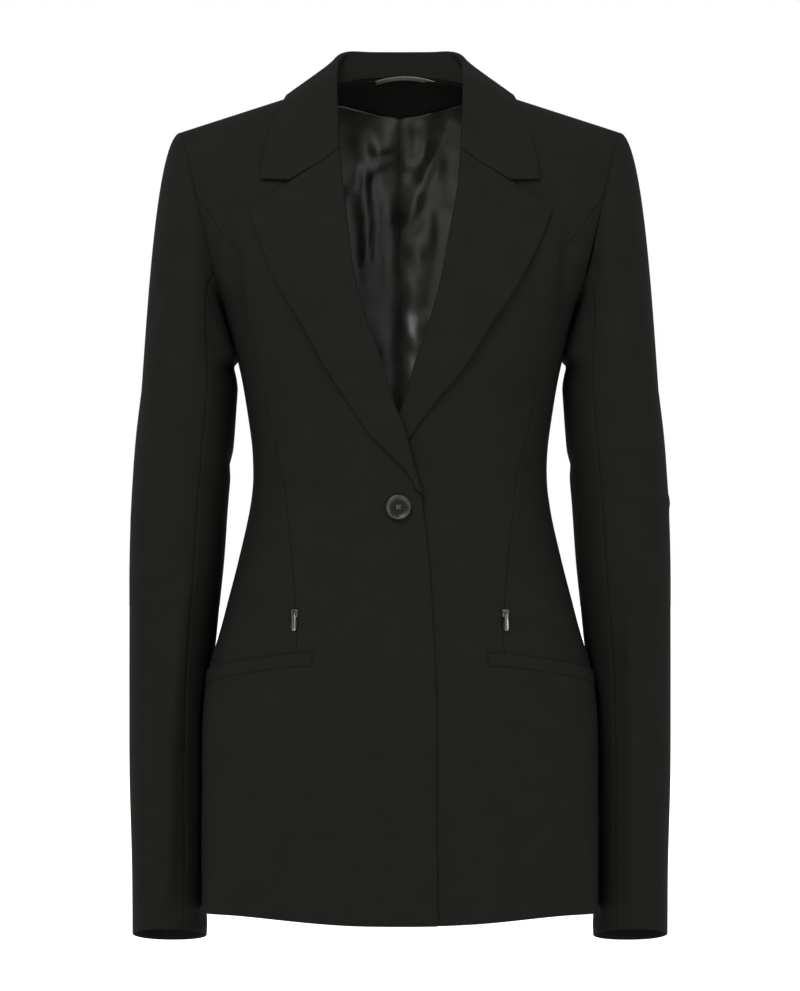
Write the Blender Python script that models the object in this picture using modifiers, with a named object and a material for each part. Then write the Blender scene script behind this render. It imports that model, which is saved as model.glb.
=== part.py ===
"""A fitted single-breasted jacket with notched lapels, filled out with no wearer.

Metres, +Z up. The front faces -Y and the wearer's left is +X. The origin is midway between the two
neck points, where the shoulder seams meet the collar. Every cloth piece is a wall whose outer face
is worked out on the torso, which is described once, for +X, and mirrored for the other side.
"""

import bisect
import math

import bmesh
import bpy
from mathutils import Matrix, Vector

CLOTH = 0.0016
LINING_CLOTH = 0.0010
SEAM_GAP = 0.0003
HEM_Z = -0.737
CHEST_Z = -0.195
NECK_X = 0.078
SHOULDER_SLOPE = 0.322
NECK_RISE = 0.018
SHOULDER_SPREAD = 1.387
SQUARENESS = 2.6
FRONT_FULLNESS = 1.7
BACK_FULLNESS = 2.1
# The hem is cut a little higher between the centre front and the sides.
HEM_SWEEP, HEM_SWEEP_START = 0.0050, 0.8

# The torso's horizontal sections, from the hem up to the chest.
# z, half width, depth of the front, depth of the back
TORSO = (
    (-0.737, 0.1778, 0.1260, 0.1230),
    (-0.640, 0.1778, 0.1250, 0.1240),
    (-0.540, 0.1750, 0.1210, 0.1220),
    (-0.477, 0.1590, 0.1140, 0.1160),
    (-0.423, 0.1450, 0.1080, 0.1080),
    (-0.369, 0.1335, 0.1030, 0.0990),
    (-0.333, 0.1320, 0.1035, 0.0960),
    (-0.297, 0.1360, 0.1090, 0.0970),
    (-0.247, 0.1450, 0.1190, 0.1020),
    (-0.195, 0.1600, 0.1220, 0.1080),
)

# The front edge, the roll line above it and the neckline above that, on each front.
# z, x on the wearer's right front, x on the left; past the centre line x is below 0
FRONT_EDGE = (
    (-0.737, -0.0325, -0.0325),
    (-0.640, -0.0318, -0.0318),
    (-0.510, -0.0302, -0.0302),
    (-0.430, -0.0259, -0.0259),
    (-0.364, -0.0199, -0.0199),
    (-0.335, -0.0115, -0.0125),
    (-0.293, 0.0014, -0.0014),
    (-0.253, 0.0140, 0.0117),
    (-0.218, 0.0264, 0.0235),
    (-0.194, 0.0334, 0.0305),
    (-0.166, 0.0405, 0.0372),
    (-0.142, 0.0434, 0.0415),
    (-0.096, 0.0488, 0.0494),
    (-0.063, 0.0523, 0.0523),
)
NECKLINE = (
    (-0.035, 0.0640),
    (-0.013, 0.0735),
)
ROLL_END_Z = -0.364
GORGE_Z = -0.063

# The lapel's outer edge, from the roll's end up to the tip.
# z, x on the wearer's right lapel, x on the left
LAPEL_EDGE = (
    (-0.3620, -0.0147, -0.0150),
    (-0.3464, -0.0069, -0.0085),
    (-0.3291, 0.0087, 0.0010),
    (-0.3084, 0.0277, 0.0125),
    (-0.2825, 0.0449, 0.0315),
    (-0.2524, 0.0643, 0.0555),
    (-0.2157, 0.0840, 0.0780),
    (-0.1848, 0.1025, 0.0985),
    (-0.1533, 0.1170, 0.1160),
    (-0.1163, 0.1310, 0.1325),
)

# The seam down each front, from the hem line of the pocket up to the armhole.
# z, x
FRONT_SEAM = (
    (-0.737, 0.0905),
    (-0.498, 0.0905),
    (-0.462, 0.0910),
    (-0.403, 0.0965),
    (-0.339, 0.1055),
    (-0.307, 0.1140),
    (-0.264, 0.1220),
    (-0.225, 0.1325),
    (-0.193, 0.1368),
    (-0.166, 0.1400),
    (-0.150, 0.1455),
    (-0.134, 0.1570),
)
SIDE_SEAM_ANGLE = 100.0
POCKET_RISE = -0.577
POCKET_SLANT = 0.039

# The armhole, from the front of the shoulder point, under the arm and up the back.
# angle round the torso, rise
ARMHOLE = (
    (58.9, 1.00),
    (58.5, 0.80),
    (58.5, 0.60),
    (59.5, 0.43),
    (63.0, 0.25),
    (70.0, 0.10),
    (80.0, 0.00),
    (90.0, -0.022),
    (100.0, -0.022),
    (109.0, 0.02),
    (116.0, 0.14),
    (120.0, 0.32),
    (121.0, 0.55),
    (121.1, 0.80),
    (121.1, 1.00),
)
SEAM_ROW = 3
UNDERARM_ROW = 8
# The back neckline, from the centre back out to the neck point, where it meets the shoulder seam.
# share of the way, x, z
BACK_NECK = (
    (0.00, 0.0000, 0.0165),
    (0.25, 0.0200, 0.0162),
    (0.50, 0.0400, 0.0135),
    (0.75, 0.0600, 0.0072),
    (0.92, 0.0725, 0.0014),
)

# How far the wearer's right front stands off the torso where it laps over the left.
# z, lift
OVERLAP = (
    (-0.737, 0.0026),
    (-0.400, 0.0028),
    (-0.368, 0.0050),
    (-0.290, 0.0050),
    (-0.255, 0.0015),
    (-0.200, 0.0),
)
OVERLAP_RAMP = (0.036, 0.080)

# The roll's radius at its lower and its upper end, and the angles its fold goes through.
ROLL_RADIUS = (0.0019, 0.0032)
COLLAR_RADIUS = ROLL_RADIUS[1]
ROLL_TURN = (-80.0, 90.0)
ROLL_GAP = 0.0005
ROLL_END_EASE = 0.012
LAPEL_LIFT = 0.0026

# The collar, from the centre back round to the gorge: the fold, and the edge of the fall.
# share of the way, x, y, z
COLLAR_FOLD = (
    (0.00, 0.0000, 0.0560, 0.0415),
    (0.18, 0.0280, 0.0535, 0.0413),
    (0.32, 0.0465, 0.0440, 0.0405),
    (0.42, 0.0535, 0.0280, 0.0345),
    (0.55, 0.0560, 0.0020, 0.0215),
    (0.70, 0.0560, -0.0300, 0.0040),
    (0.85, 0.0545, -0.0630, -0.0285),
    (1.00, 0.0527, -0.0875, -0.0627),
)
# share of the way, x, z, 1 on the back and 0 on the front
COLLAR_EDGE = (
    (0.00, 0.0000, -0.0120, 1),
    (0.15, 0.0310, -0.0125, 1),
    (0.30, 0.0620, -0.0140, 1),
    (0.42, 0.0860, -0.0130, 1),
    (0.50, 0.0990, -0.0075, 0),
    (0.60, 0.1050, -0.0200, 0),
    (0.70, 0.1105, -0.0340, 0),
    (0.80, 0.1165, -0.0520, 0),
    (0.90, 0.1205, -0.0700, 0),
    (1.00, 0.1220, -0.0860, 0),
)
COLLAR_CLOTH = 0.0016
COLLAR_LIFT = 0.0018
# The fall swells out by these between the fold and its edge.
FALL_BOW, FALL_DROOP = 0.02, 0.50
FALL_STRAIGHT, FALL_STRAIGHTENS = 0.9, (0.25, 0.46)
FALL_ROOM = 0.0020
FALL_EASE = 0.004
STAND_GAP = 0.0014
GORGE_GAP = 0.0006
# The shares of the way where the collar turns into the lapel's own fold.
FALL_MEETS_GORGE, FOLD_FLATTENS, FOLD_MEETS_ROLL, FOOT_MEETS_ROLL = 0.62, 0.78, 0.90, 0.93
# The notch: how far along the lapel's top it comes, and how far down the collar's front end.
NOTCH_ON_LAPEL = 0.53
NOTCH_SHARE = 0.62

# The sleeve's level sections below the arm.
# z, inner x, outer x, y of the middle, half depth
SLEEVE = (
    (-0.766, 0.1755, 0.2425, 0.0245, 0.0480),
    (-0.700, 0.1730, 0.2430, 0.0245, 0.0492),
    (-0.620, 0.1725, 0.2450, 0.0235, 0.0505),
    (-0.540, 0.1700, 0.2450, 0.020, 0.0520),
    (-0.477, 0.1645, 0.2445, 0.015, 0.0540),
    (-0.423, 0.1588, 0.2440, 0.011, 0.0560),
    (-0.369, 0.1548, 0.2420, 0.008, 0.0580),
    (-0.315, 0.1495, 0.2380, 0.005, 0.0600),
    (-0.270, 0.1462, 0.2325, 0.003, 0.0620),
)
SLEEVE_TOP_Z = -0.270
CUFF_Z = -0.7635
CUFF_SLANT = 0.23
SLEEVE_SQUARENESS = 2.2
ARMHOLE_GAP = 0.0005
# How the sleeve leaves the armhole: at the underarm, at the shoulder and towards the front.
CAP_OUT, CAP_DOWN, CAP_FORWARD = (0.030, 0.065), (-0.035, 0.010), 0.030
CAP_ARRIVES, CAP_FALLS = 0.018, 1.1
# The sleeve lies against the body down to here, and stays this far off it all the way down.
HUG_Z, HUG_FADE, HUG_GAP = -0.252, 0.014, 0.0025
HUG_ROUNDING, HUG_TURN, HUG_ROWS = 0.0010, 0.45, 1.6
# Where each part of the armhole comes in the level sections.
# armhole row, angle round the sleeve: 0 towards the body, 90 in front, 180 outside
SLEEVE_TURN = (
    (0.0, 180.0),
    (3.0, 115.0),
    (5.0, 62.0),
    (6.0, 32.0),
    (7.3, 0.0),
    (8.0, -20.0),
    (10.0, -62.0),
    (12.0, -115.0),
    (14.0, -180.0),
)
# The pockets' welts.
WELT_START_X = 0.0764
WELT_HEIGHT = 0.0113
WELT_CLOTH = 0.0012
WELT_LIFT = WELT_CLOTH + 0.00045

# What shows inside the neck: the back lining, the facing band above it and the hanger loop.
LINING_SHORT = 0.15
LINING_GAP = 0.0016
FACING_DROP, FACING_TOP = 0.14, 0.008
LOOP_LENGTH, LOOP_WIDTH, LOOP_CLOTH = 0.061, 0.0035, 0.0010
LOOP_X, LOOP_Z = 0.0035, 0.0115
LOOP_RISE = 0.005
LOOP_GAP = 0.0013

BUTTON_X, BUTTON_Z = -0.0013, -0.3755
BUTTON_GAP = 0.0008
BUTTON_HOLE_RADIUS = 0.0010
BUTTON_HOLE_SPACING = 0.0019
BUTTON_SIDES, BUTTON_HOLE_SIDES = 32, 12
# The button's outline, turned about its axis: radius, height from its flat back.
BUTTON_PROFILE = (
    (0.0, 0.0),
    (0.0085, 0.0),
    (0.0102, 0.0007),
    (0.0108, 0.0018),
    (0.0105, 0.0028),
    (0.0096, 0.0032),
    (0.0086, 0.0029),
    (0.0078, 0.0021),
    (0.0, 0.0019),
)

# The zips' ends: a slider, two ears that hold a pin, and the pull that swings on it.
ZIP_X, ZIP_Z = 0.0912, -0.4665
SLIDER_SIZE, SLIDER_Y, SLIDER_ROUNDING = (0.0056, 0.0070, 0.0014), -0.0012, 0.00035
EAR_SPACING, EAR_SIZE, EAR_HEIGHT = 0.0019, (0.0009, 0.0022, 0.0033), 0.00165
PIN_HEIGHT, PIN_RADIUS, PIN_LENGTH = 0.0027, 0.0006, 0.0044
BARREL_RADIUS, BARREL_LENGTH, BORE_RADIUS = 0.0012, 0.0026, 0.00078
PULL_LENGTH, PULL_WIDTH, PULL_THICKNESS = 0.0165, 0.0058, 0.0011
PULL_TILT = 6.0
# The pull's half width, as a share of its widest, down its length.
PULL_OUTLINE = (
    (0.00, 0.30),
    (0.12, 0.30),
    (0.25, 0.50),
    (0.45, 0.86),
    (0.70, 1.00),
    (0.90, 0.84),
    (1.00, 0.36),
)
ROD_SIDES, PIN_SIDES = 16, 12
CUTTER_LENGTH = 0.01
SHARP_ANGLE = 40

# Rows of the body's walls: below the pocket, up to the front seam's top, up to the shoulder.
LOW_ROWS, MIDDLE_ROWS, HIGH_ROWS = 5, 12, 8
FRONT_COLUMNS, SIDE_COLUMNS, BACK_COLUMNS = 7, 8, 10
BACK_HIGH_ROWS = 8
BACK_ROWS = LOW_ROWS + MIDDLE_ROWS + BACK_HIGH_ROWS
NECK_SHARE = 5 / BACK_COLUMNS
ARM_STEPS = HIGH_ROWS + SIDE_COLUMNS + BACK_HIGH_ROWS
FRONT_SLEEVE_STEP = HIGH_ROWS + 3
BACK_SLEEVE_STEP = HIGH_ROWS + SIDE_COLUMNS + 5
CAP_ROWS, ARM_ROWS = 7, 11
ELBOW_ROW = CAP_ROWS + 5
LAPEL_ROWS, FOLD_COLUMNS, LAPEL_COLUMNS = 14, 4, 5
COLLAR_ROWS, STAND_COLUMNS, TURN_COLUMNS, FALL_COLUMNS = 28, 2, 4, 4
FACING_COLUMNS, LOOP_COLUMNS = 20, 10
PULL_ROWS = 12

CLOTH_BLACK = (0.0137, 0.0137, 0.0123)
LINING_BLACK = (0.0273, 0.0284, 0.0232)
HORN = (0.030, 0.030, 0.026)
METAL = (0.150, 0.150, 0.145)


def hermite(start, leaving, end, arriving, share):
    """A point of the curve between two ends with a given slope at each."""
    square, cube = share * share, share**3
    return (
        (2 * cube - 3 * square + 1) * start
        + (cube - 2 * square + share) * leaving
        + (3 * square - 2 * cube) * end
        + (cube - square) * arriving
    )


def read(table, key, column):
    """A column of a table at a key between its rows, on a smooth curve through them."""
    keys = [row[0] for row in table]
    at = min(max(bisect.bisect_right(keys, key) - 1, 0), len(keys) - 2)
    span = keys[at + 1] - keys[at]
    share = min(max((key - keys[at]) / span, 0.0), 1.0)

    def slope(row):
        low = max(row - 1, 0)
        high = min(row + 1, len(keys) - 1)
        return (table[high][column] - table[low][column]) / (keys[high] - keys[low])

    return hermite(
        table[at][column], span * slope(at), table[at + 1][column], span * slope(at + 1), share
    )


def mix(first, second, share):
    return first + (second - first) * share


def ease(share):
    share = min(max(share, 0.0), 1.0)
    return share * share * (3 - 2 * share)


def past(start, share):
    """How far a share has come from the start towards 1."""
    return (share - start) / (1 - start)


def ridge_z(x):
    """The height of the shoulder seam, which rises towards the neck."""
    share = min(x / NECK_X, 1.0)
    level_middle = 2 + SHOULDER_SLOPE * NECK_X / NECK_RISE
    swell = (1 - share) ** 2 * (1 + level_middle * share)
    return SHOULDER_SLOPE * (NECK_X - x) + NECK_RISE * swell


def torso(angle, rise):
    """The torso's outer face. The angle is 0 at the centre front, 90 at the side and 180 at the
    centre back; the rise is -1 at the hem, 0 at the chest and 1 on the shoulder seam."""
    z = CHEST_Z + min(rise, 0.0) * (CHEST_Z - HEM_Z)
    turn = math.radians(angle)
    if rise < -HEM_SWEEP_START and math.cos(turn) > 0:
        swept = ease((-rise - HEM_SWEEP_START) / (1 - HEM_SWEEP_START))
        lift = HEM_SWEEP * math.sin(2 * turn) ** 2 * swept
    else:
        lift = 0.0
    across = abs(math.sin(turn)) ** (2 / SQUARENESS)
    deep = abs(math.cos(turn)) ** (2 / SQUARENESS)
    x = read(TORSO, z, 1) * across
    y = -read(TORSO, z, 2) * deep if math.cos(turn) > 0 else read(TORSO, z, 3) * deep
    if rise > 0:
        climb = min(rise, 1.0) * math.pi / 2
        power = 2 / mix(FRONT_FULLNESS, BACK_FULLNESS, abs(angle) / 180)
        climbed = math.sin(climb) ** power
        widened = climbed * (1.35 - 0.35 * climbed)
        ridge = x * SHOULDER_SPREAD
        x = mix(x, ridge, widened)
        y *= max(math.cos(climb), 0.0) ** power
        z = mix(z, ridge_z(ridge), climbed)
    return Vector((math.copysign(x, math.sin(turn)), y, z + lift))


def angle_at(x, rise, back):
    """The angle whose point has this x, at this rise, on the front or on the back."""
    low, high = 0.0, 90.0
    for _ in range(26):
        middle = (low + high) / 2
        if torso(180 - middle if back else middle, rise).x < abs(x):
            low = middle
        else:
            high = middle
    angle = math.copysign((low + high) / 2, x)
    return 180 - angle if back else angle


def locate(x, z, back=False):
    """The angle and the rise of the torso's point at this x and z."""
    low, high = -1.0, 1.0
    for _ in range(26):
        rise = (low + high) / 2
        if torso(angle_at(x, rise, back), rise).z < z:
            low = rise
        else:
            high = rise
    return angle_at(x, rise, back), rise


def outward(surface, u, v, step=0.0005):
    """The direction that a surface faces, from its points nearby."""
    along = surface(u + step, v) - surface(u - step, v)
    up = surface(u, v + step) - surface(u, v - step)
    return along.cross(up).normalized()


def torso_normal(angle, rise):
    rise = min(rise, 0.985)
    along = torso(angle + 0.3, rise) - torso(angle - 0.3, rise)
    up = torso(angle, rise + 0.003) - torso(angle, rise - 0.003)
    return along.cross(up).normalized()


def on_torso(angle, rise, out=0.0):
    """A point this far out from the torso."""
    return torso(angle, rise) + torso_normal(angle, rise) * out


def overlap(side, angle, rise):
    """The lift of the right front over the left, which fades away from the centre line."""
    if side > 0:
        return 0.0
    point = torso(angle, rise)
    near, far = OVERLAP_RAMP
    return read(OVERLAP, point.z, 1) * (1 - ease((point.x - near) / (far - near)))


def seam_rows(table, column=1, inset=lambda z: 0.0):
    """A seam given by its z and x, as rows of rise and angle."""
    rows = []
    for row in table:
        angle, rise = locate(row[column] + inset(row[0]), row[0])
        rows.append((rise, angle))
    return rows


def roll_radius(share):
    return mix(*ROLL_RADIUS, share)


def roll_share(z):
    return (z - ROLL_END_Z) / (GORGE_Z - ROLL_END_Z)


def fold_room(z):
    """The front stops short of the roll line, which the lapel's fold reaches."""
    room = roll_radius(min(max(roll_share(z), 0), 1)) + ROLL_GAP
    return room * ease((z - ROLL_END_Z + ROLL_END_EASE) / ROLL_END_EASE)


EDGE = {}
for wearer_side, edge_column in ((-1, 1), (1, 2)):
    EDGE[wearer_side] = seam_rows(FRONT_EDGE, edge_column, fold_room) + seam_rows(
        NECKLINE
    )
    EDGE[wearer_side].append((1.0, angle_at(NECK_X, 1.0, False)))
ARMHOLE_ROWS = [(index, *row) for index, row in enumerate(ARMHOLE)]
SEAM_TOP = ARMHOLE[SEAM_ROW]
UNDERARM = ARMHOLE[UNDERARM_ROW]
SEAM = seam_rows(FRONT_SEAM) + [(SEAM_TOP[1], SEAM_TOP[0])]
NECK_ANGLE = angle_at(NECK_X, 1.0, True)
BACK_NECK_ROWS = [(0.0, 180.0, locate(0.0005, BACK_NECK[0][2], True)[1])]
BACK_NECK_ROWS += [(share, *locate(x, z, True)) for share, x, z in BACK_NECK[1:]]
BACK_NECK_ROWS.append((1.0, NECK_ANGLE, 1.0))


def armhole(row):
    return read(ARMHOLE_ROWS, row, 1), read(ARMHOLE_ROWS, row, 2)


def pocket_rise(angle):
    """The rise of the pocket's line, which slants down from the front seam to the side."""
    front = read(SEAM, POCKET_RISE, 1)
    return POCKET_RISE - POCKET_SLANT * max(0.0, angle - front) / (90 - front)


def front_place(side, column, row):
    """Angle and rise on the front: the columns past the front seam belong to the rows below the pocket."""
    if row <= LOW_ROWS:
        share = row / LOW_ROWS
        rise = mix(-1.0, POCKET_RISE, share)
    elif row <= LOW_ROWS + MIDDLE_ROWS:
        rise = mix(POCKET_RISE, SEAM_TOP[1], (row - LOW_ROWS) / MIDDLE_ROWS)
    else:
        above = (row - LOW_ROWS - MIDDLE_ROWS) / HIGH_ROWS
        outer_angle, rise = armhole(SEAM_ROW * (1 - above))
    if row <= LOW_ROWS + MIDDLE_ROWS:
        outer_angle = read(SEAM, rise, 1)
    if column <= FRONT_COLUMNS:
        return mix(read(EDGE[side], rise, 1), outer_angle, column / FRONT_COLUMNS), rise
    share = (column - FRONT_COLUMNS) / SIDE_COLUMNS
    angle = mix(outer_angle, SIDE_SEAM_ANGLE, share)
    return angle, -1.0 + (pocket_rise(angle) + 1.0) * row / LOW_ROWS


def side_place(column, row):
    """Angle and rise on the side front, between the pocket, the front seam, the armhole and the side seam."""
    share = column / SIDE_COLUMNS
    up = row / MIDDLE_ROWS
    top_angle, top_rise = armhole(mix(SEAM_ROW, UNDERARM_ROW, share))
    foot = mix(read(SEAM, POCKET_RISE, 1), SIDE_SEAM_ANGLE, share)
    rise = mix(pocket_rise(foot), top_rise, up)
    seam_rise = mix(POCKET_RISE, SEAM_TOP[1], up)
    straight = mix(read(SEAM, POCKET_RISE, 1), SEAM_TOP[0], up)
    bend = (read(SEAM, seam_rise, 1) - straight) * (1 - share)
    return mix(foot, top_angle, up) + bend, rise


def back_place(column, row, drop=0.0):
    """Angle and rise on the back, from the centre-back seam out to the side seam and the armhole.
    The drop lowers the top under the neckline."""
    share = column / BACK_COLUMNS
    side_rise = pocket_rise(SIDE_SEAM_ANGLE)
    if row <= LOW_ROWS + MIDDLE_ROWS:
        if row <= LOW_ROWS:
            rise = mix(-1.0, side_rise, row / LOW_ROWS)
        else:
            rise = mix(side_rise, UNDERARM[1], (row - LOW_ROWS) / MIDDLE_ROWS)
        return mix(180.0, SIDE_SEAM_ANGLE, share), rise
    up = (row - LOW_ROWS - MIDDLE_ROWS) / BACK_HIGH_ROWS
    arm_angle, arm_rise = armhole(mix(UNDERARM_ROW, len(ARMHOLE) - 1, up))
    top_angle, top_rise = back_top(share)
    top_rise -= drop * (1 - ease((share - NECK_SHARE) / 0.25))
    level = mix(180.0, SIDE_SEAM_ANGLE, share)
    angle = mix(level, top_angle, up) + share * (
        arm_angle - mix(SIDE_SEAM_ANGLE, ARMHOLE[-1][0], up)
    )
    rise = mix(UNDERARM[1], top_rise, up) + share * (
        arm_rise - mix(UNDERARM[1], 1.0, up)
    )
    return angle, rise


def back_top(share):
    """The neckline from the centre back to the neck point, then the shoulder seam."""
    if share <= NECK_SHARE:
        along = share / NECK_SHARE
        return read(BACK_NECK_ROWS, along, 1), read(BACK_NECK_ROWS, along, 2)
    return mix(NECK_ANGLE, ARMHOLE[-1][0], (share - NECK_SHARE) / (1 - NECK_SHARE)), 1.0


def mesh_from(bm, name):
    mesh = bpy.data.meshes.new(name)
    bm.to_mesh(mesh)
    bm.free()
    return mesh


def material(name, colour, roughness, metallic=0.0):
    """A plain finish in the piece's colour."""
    found = bpy.data.materials.get(name)
    if found:
        return found
    made = bpy.data.materials.new(name)
    made.use_nodes = True
    shader = made.node_tree.nodes["Principled BSDF"]
    shader.inputs["Base Color"].default_value = (*colour, 1.0)
    shader.inputs["Roughness"].default_value = roughness
    shader.inputs["Metallic"].default_value = metallic
    return made


def keep(bm, name, finish):
    """A finished bmesh as a named object in the jacket's collection."""
    mesh = mesh_from(bm, name)
    mesh.shade_smooth()
    mesh.set_sharp_from_angle(angle=math.radians(SHARP_ANGLE))
    mesh.materials.append(finish)
    made = bpy.data.objects.new(name, mesh)
    JACKET.objects.link(made)
    return made


def wall(
    name, surface, columns, rows, thickness, finish, side=1, facing=None, cut=None, trim=SEAM_GAP / 2
):
    """A cloth wall: a grid on surface(column, row), with a second face a thickness behind it.
    Its edges stop half a seam gap short. cut(column, row) says which faces are left out. The
    surface is given for the wearer's left (side 1), and mirrored for the right (side -1)."""
    bm = bmesh.new()
    bmesh.ops.create_grid(bm, x_segments=columns, y_segments=rows, size=0.5)
    place = {}
    for vert in bm.verts:
        place[vert] = (
            round((vert.co.x + 0.5) * columns),
            round((vert.co.y + 0.5) * rows),
        )
    if cut:
        gone = [
            face
            for face in bm.faces
            if cut(*(min(place[vert][axis] for vert in face.verts) for axis in (0, 1)))
        ]
        bmesh.ops.delete(bm, geom=gone, context="FACES")
    outer = {}
    for vert in bm.verts:
        column, row = place[vert]
        point = surface(column, row)
        normal = facing(column, row) if facing else outward(surface, column, row)
        inner = [edge for edge in vert.link_edges if not edge.is_boundary]
        if vert.is_boundary:
            for edge in inner or vert.link_edges:
                inside = place[edge.other_vert(vert)]
                point = point + (surface(*inside) - point).normalized() * trim
        outer[vert] = (point, normal)
    faces = bm.faces[:]
    bm.verts.index_update()
    order = bm.verts[:]
    for vert in order:
        vert.co = outer[vert][0]
    made = bmesh.ops.extrude_face_region(bm, geom=faces, use_keep_orig=True)
    behind = [item for item in made["geom"] if isinstance(item, bmesh.types.BMVert)]
    nearest = {tuple(round(value, 7) for value in outer[vert][0]): vert for vert in order}
    for vert in behind:
        front_vert = nearest[tuple(round(value, 7) for value in vert.co)]
        vert.co = outer[front_vert][0] - outer[front_vert][1] * thickness
    for vert in bm.verts:
        vert.co.x *= side
    bmesh.ops.recalc_face_normals(bm, faces=bm.faces)
    return keep(bm, name, finish)


def torso_wall(name, side, place, columns, rows, thickness, finish, out=None, cut=None):
    """A wall whose outer face lies on the torso, where place(column, row) gives angle and rise."""

    def surface(column, row):
        angle, rise = place(column, row)
        return on_torso(angle, rise, out(angle, rise) if out else 0.0)

    def facing(column, row):
        return torso_normal(*place(column, row))

    return wall(name, surface, columns, rows, thickness, finish, side, facing, cut)


def build_body(side, suffix):
    cloth = material("black_wool", CLOTH_BLACK, 0.75)
    torso_wall(
        f"front_{suffix}",
        side,
        lambda c, r: front_place(side, c, r),
        FRONT_COLUMNS + SIDE_COLUMNS,
        LOW_ROWS + MIDDLE_ROWS + HIGH_ROWS,
        CLOTH,
        cloth,
        lambda angle, rise: overlap(side, angle, rise),
        lambda c, r: r >= LOW_ROWS and c >= FRONT_COLUMNS,
    )
    torso_wall(
        f"front_side_{suffix}", side, side_place, SIDE_COLUMNS, MIDDLE_ROWS, CLOTH, cloth
    )
    torso_wall(
        f"back_{suffix}",
        side,
        lambda c, r: back_place(BACK_COLUMNS - c, r),
        BACK_COLUMNS,
        BACK_ROWS,
        CLOTH,
        cloth,
    )


ROLL, LAPEL_TIPS = {}, {}
for wearer_side, edge_column in ((-1, 1), (1, 2)):
    ROLL[wearer_side] = [
        (roll_share(row[0]), *locate(row[edge_column], row[0]))
        for row in FRONT_EDGE
        if row[0] >= ROLL_END_Z
    ]
    tip_z = [row[0] for row in LAPEL_EDGE]
    LAPEL_TIPS[wearer_side] = [
        (
            (row[0] - tip_z[0]) / (tip_z[-1] - tip_z[0]),
            *locate(row[edge_column], row[0]),
        )
        for row in LAPEL_EDGE
    ]
EDGE_GORGE_RISE = locate(FRONT_EDGE[-1][1], GORGE_Z)[1]
COLLAR_POINT_PLACE = locate(COLLAR_EDGE[-1][1], COLLAR_EDGE[-1][2])
COLLAR_EDGE_POINTS = []
for share, x, z, behind in COLLAR_EDGE:
    if z >= ridge_z(x) - 0.001:
        place = (angle_at(x, 1.0, False), 1.0)
    else:
        place = locate(max(x, 0.0005), z, bool(behind))
    point = on_torso(*place, COLLAR_LIFT + COLLAR_CLOTH)
    COLLAR_EDGE_POINTS.append((share, x if share == 0 else point.x, point.y, point.z))


def lapel(side, column, row):
    """The visible face of a lapel: round the fold at the roll line, then out over the front."""
    up = row / LAPEL_ROWS
    radius = roll_radius(up)
    near = [read(ROLL[side], up, axis) for axis in (1, 2)]
    far = [read(LAPEL_TIPS[side], up, axis) for axis in (1, 2)]

    def over(share, out):
        angle, rise = (mix(a, b, share) for a, b in zip(near, far))
        return on_torso(angle, rise, out + overlap(side, angle, rise))

    apex = over(0.0, 0.0)
    width = (over(1.0, 0.0) - apex).length
    if column < FOLD_COLUMNS:
        along = (over(0.03, 0.0) - apex).normalized()
        normal = (over(0.0, 0.001) - apex).normalized()
        turn = math.radians(mix(*ROLL_TURN, column / FOLD_COLUMNS))
        centre = apex + along * radius + normal * (radius - CLOTH)
        return centre - along * radius * math.cos(turn) + normal * radius * math.sin(turn)
    share = (column - FOLD_COLUMNS) / LAPEL_COLUMNS
    start = min(radius / width, 0.5)
    settle = 1 - (1 - min(share, 1.0)) ** 2
    out = mix(2 * radius - CLOTH, LAPEL_LIFT, settle)
    return over(mix(start, 1.0, share), max(out, LAPEL_LIFT))


def build_lapel(side, suffix):
    wall(
        f"lapel_{suffix}",
        lambda column, row: lapel(side, column, row),
        FOLD_COLUMNS + LAPEL_COLUMNS,
        LAPEL_ROWS,
        CLOTH,
        material("lapel_wool", CLOTH_BLACK, 0.7),
        side,
    )


def spline_point(rows, key):
    return Vector([read(rows, key, axis) for axis in (1, 2, 3)])


def neck_edge(share):
    """A point of the panels' neckline and the way out from it: the centre back is 0, the neck point
    0.5 and the gorge 1."""
    share = min(max(share, 0.0), 1.0)
    if share < 0.5:
        column = share / 0.5 * NECK_SHARE * BACK_COLUMNS
        corners = [back_top((int(column) + ahead) / BACK_COLUMNS) for ahead in (0, 1)]
        near, far = (on_torso(*corner) for corner in corners)
        angle, rise = (mix(a, b, column % 1) for a, b in zip(*corners))
        return near.lerp(far, column % 1), torso_normal(angle, rise)
    else:
        rise = mix(1.0, EDGE_GORGE_RISE, (share - 0.5) / 0.5)
        angle = read(EDGE[1], rise, 1)
    return on_torso(angle, rise), torso_normal(angle, rise)


def gorge_end():
    """The collar's fold where it meets the lapel's: its middle, the way up and the way out."""
    near = ROLL[1][-1][1:]
    far = LAPEL_TIPS[1][-1][1:]
    apex = on_torso(*near)
    along = (on_torso(*(mix(a, b, 0.03) for a, b in zip(near, far))) - apex).normalized()
    normal = torso_normal(*near)
    up_the_roll = normal.cross(along)
    centre = apex + along * COLLAR_RADIUS + normal * (COLLAR_RADIUS - CLOTH)
    return centre + up_the_roll * GORGE_GAP, -along, normal


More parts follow.
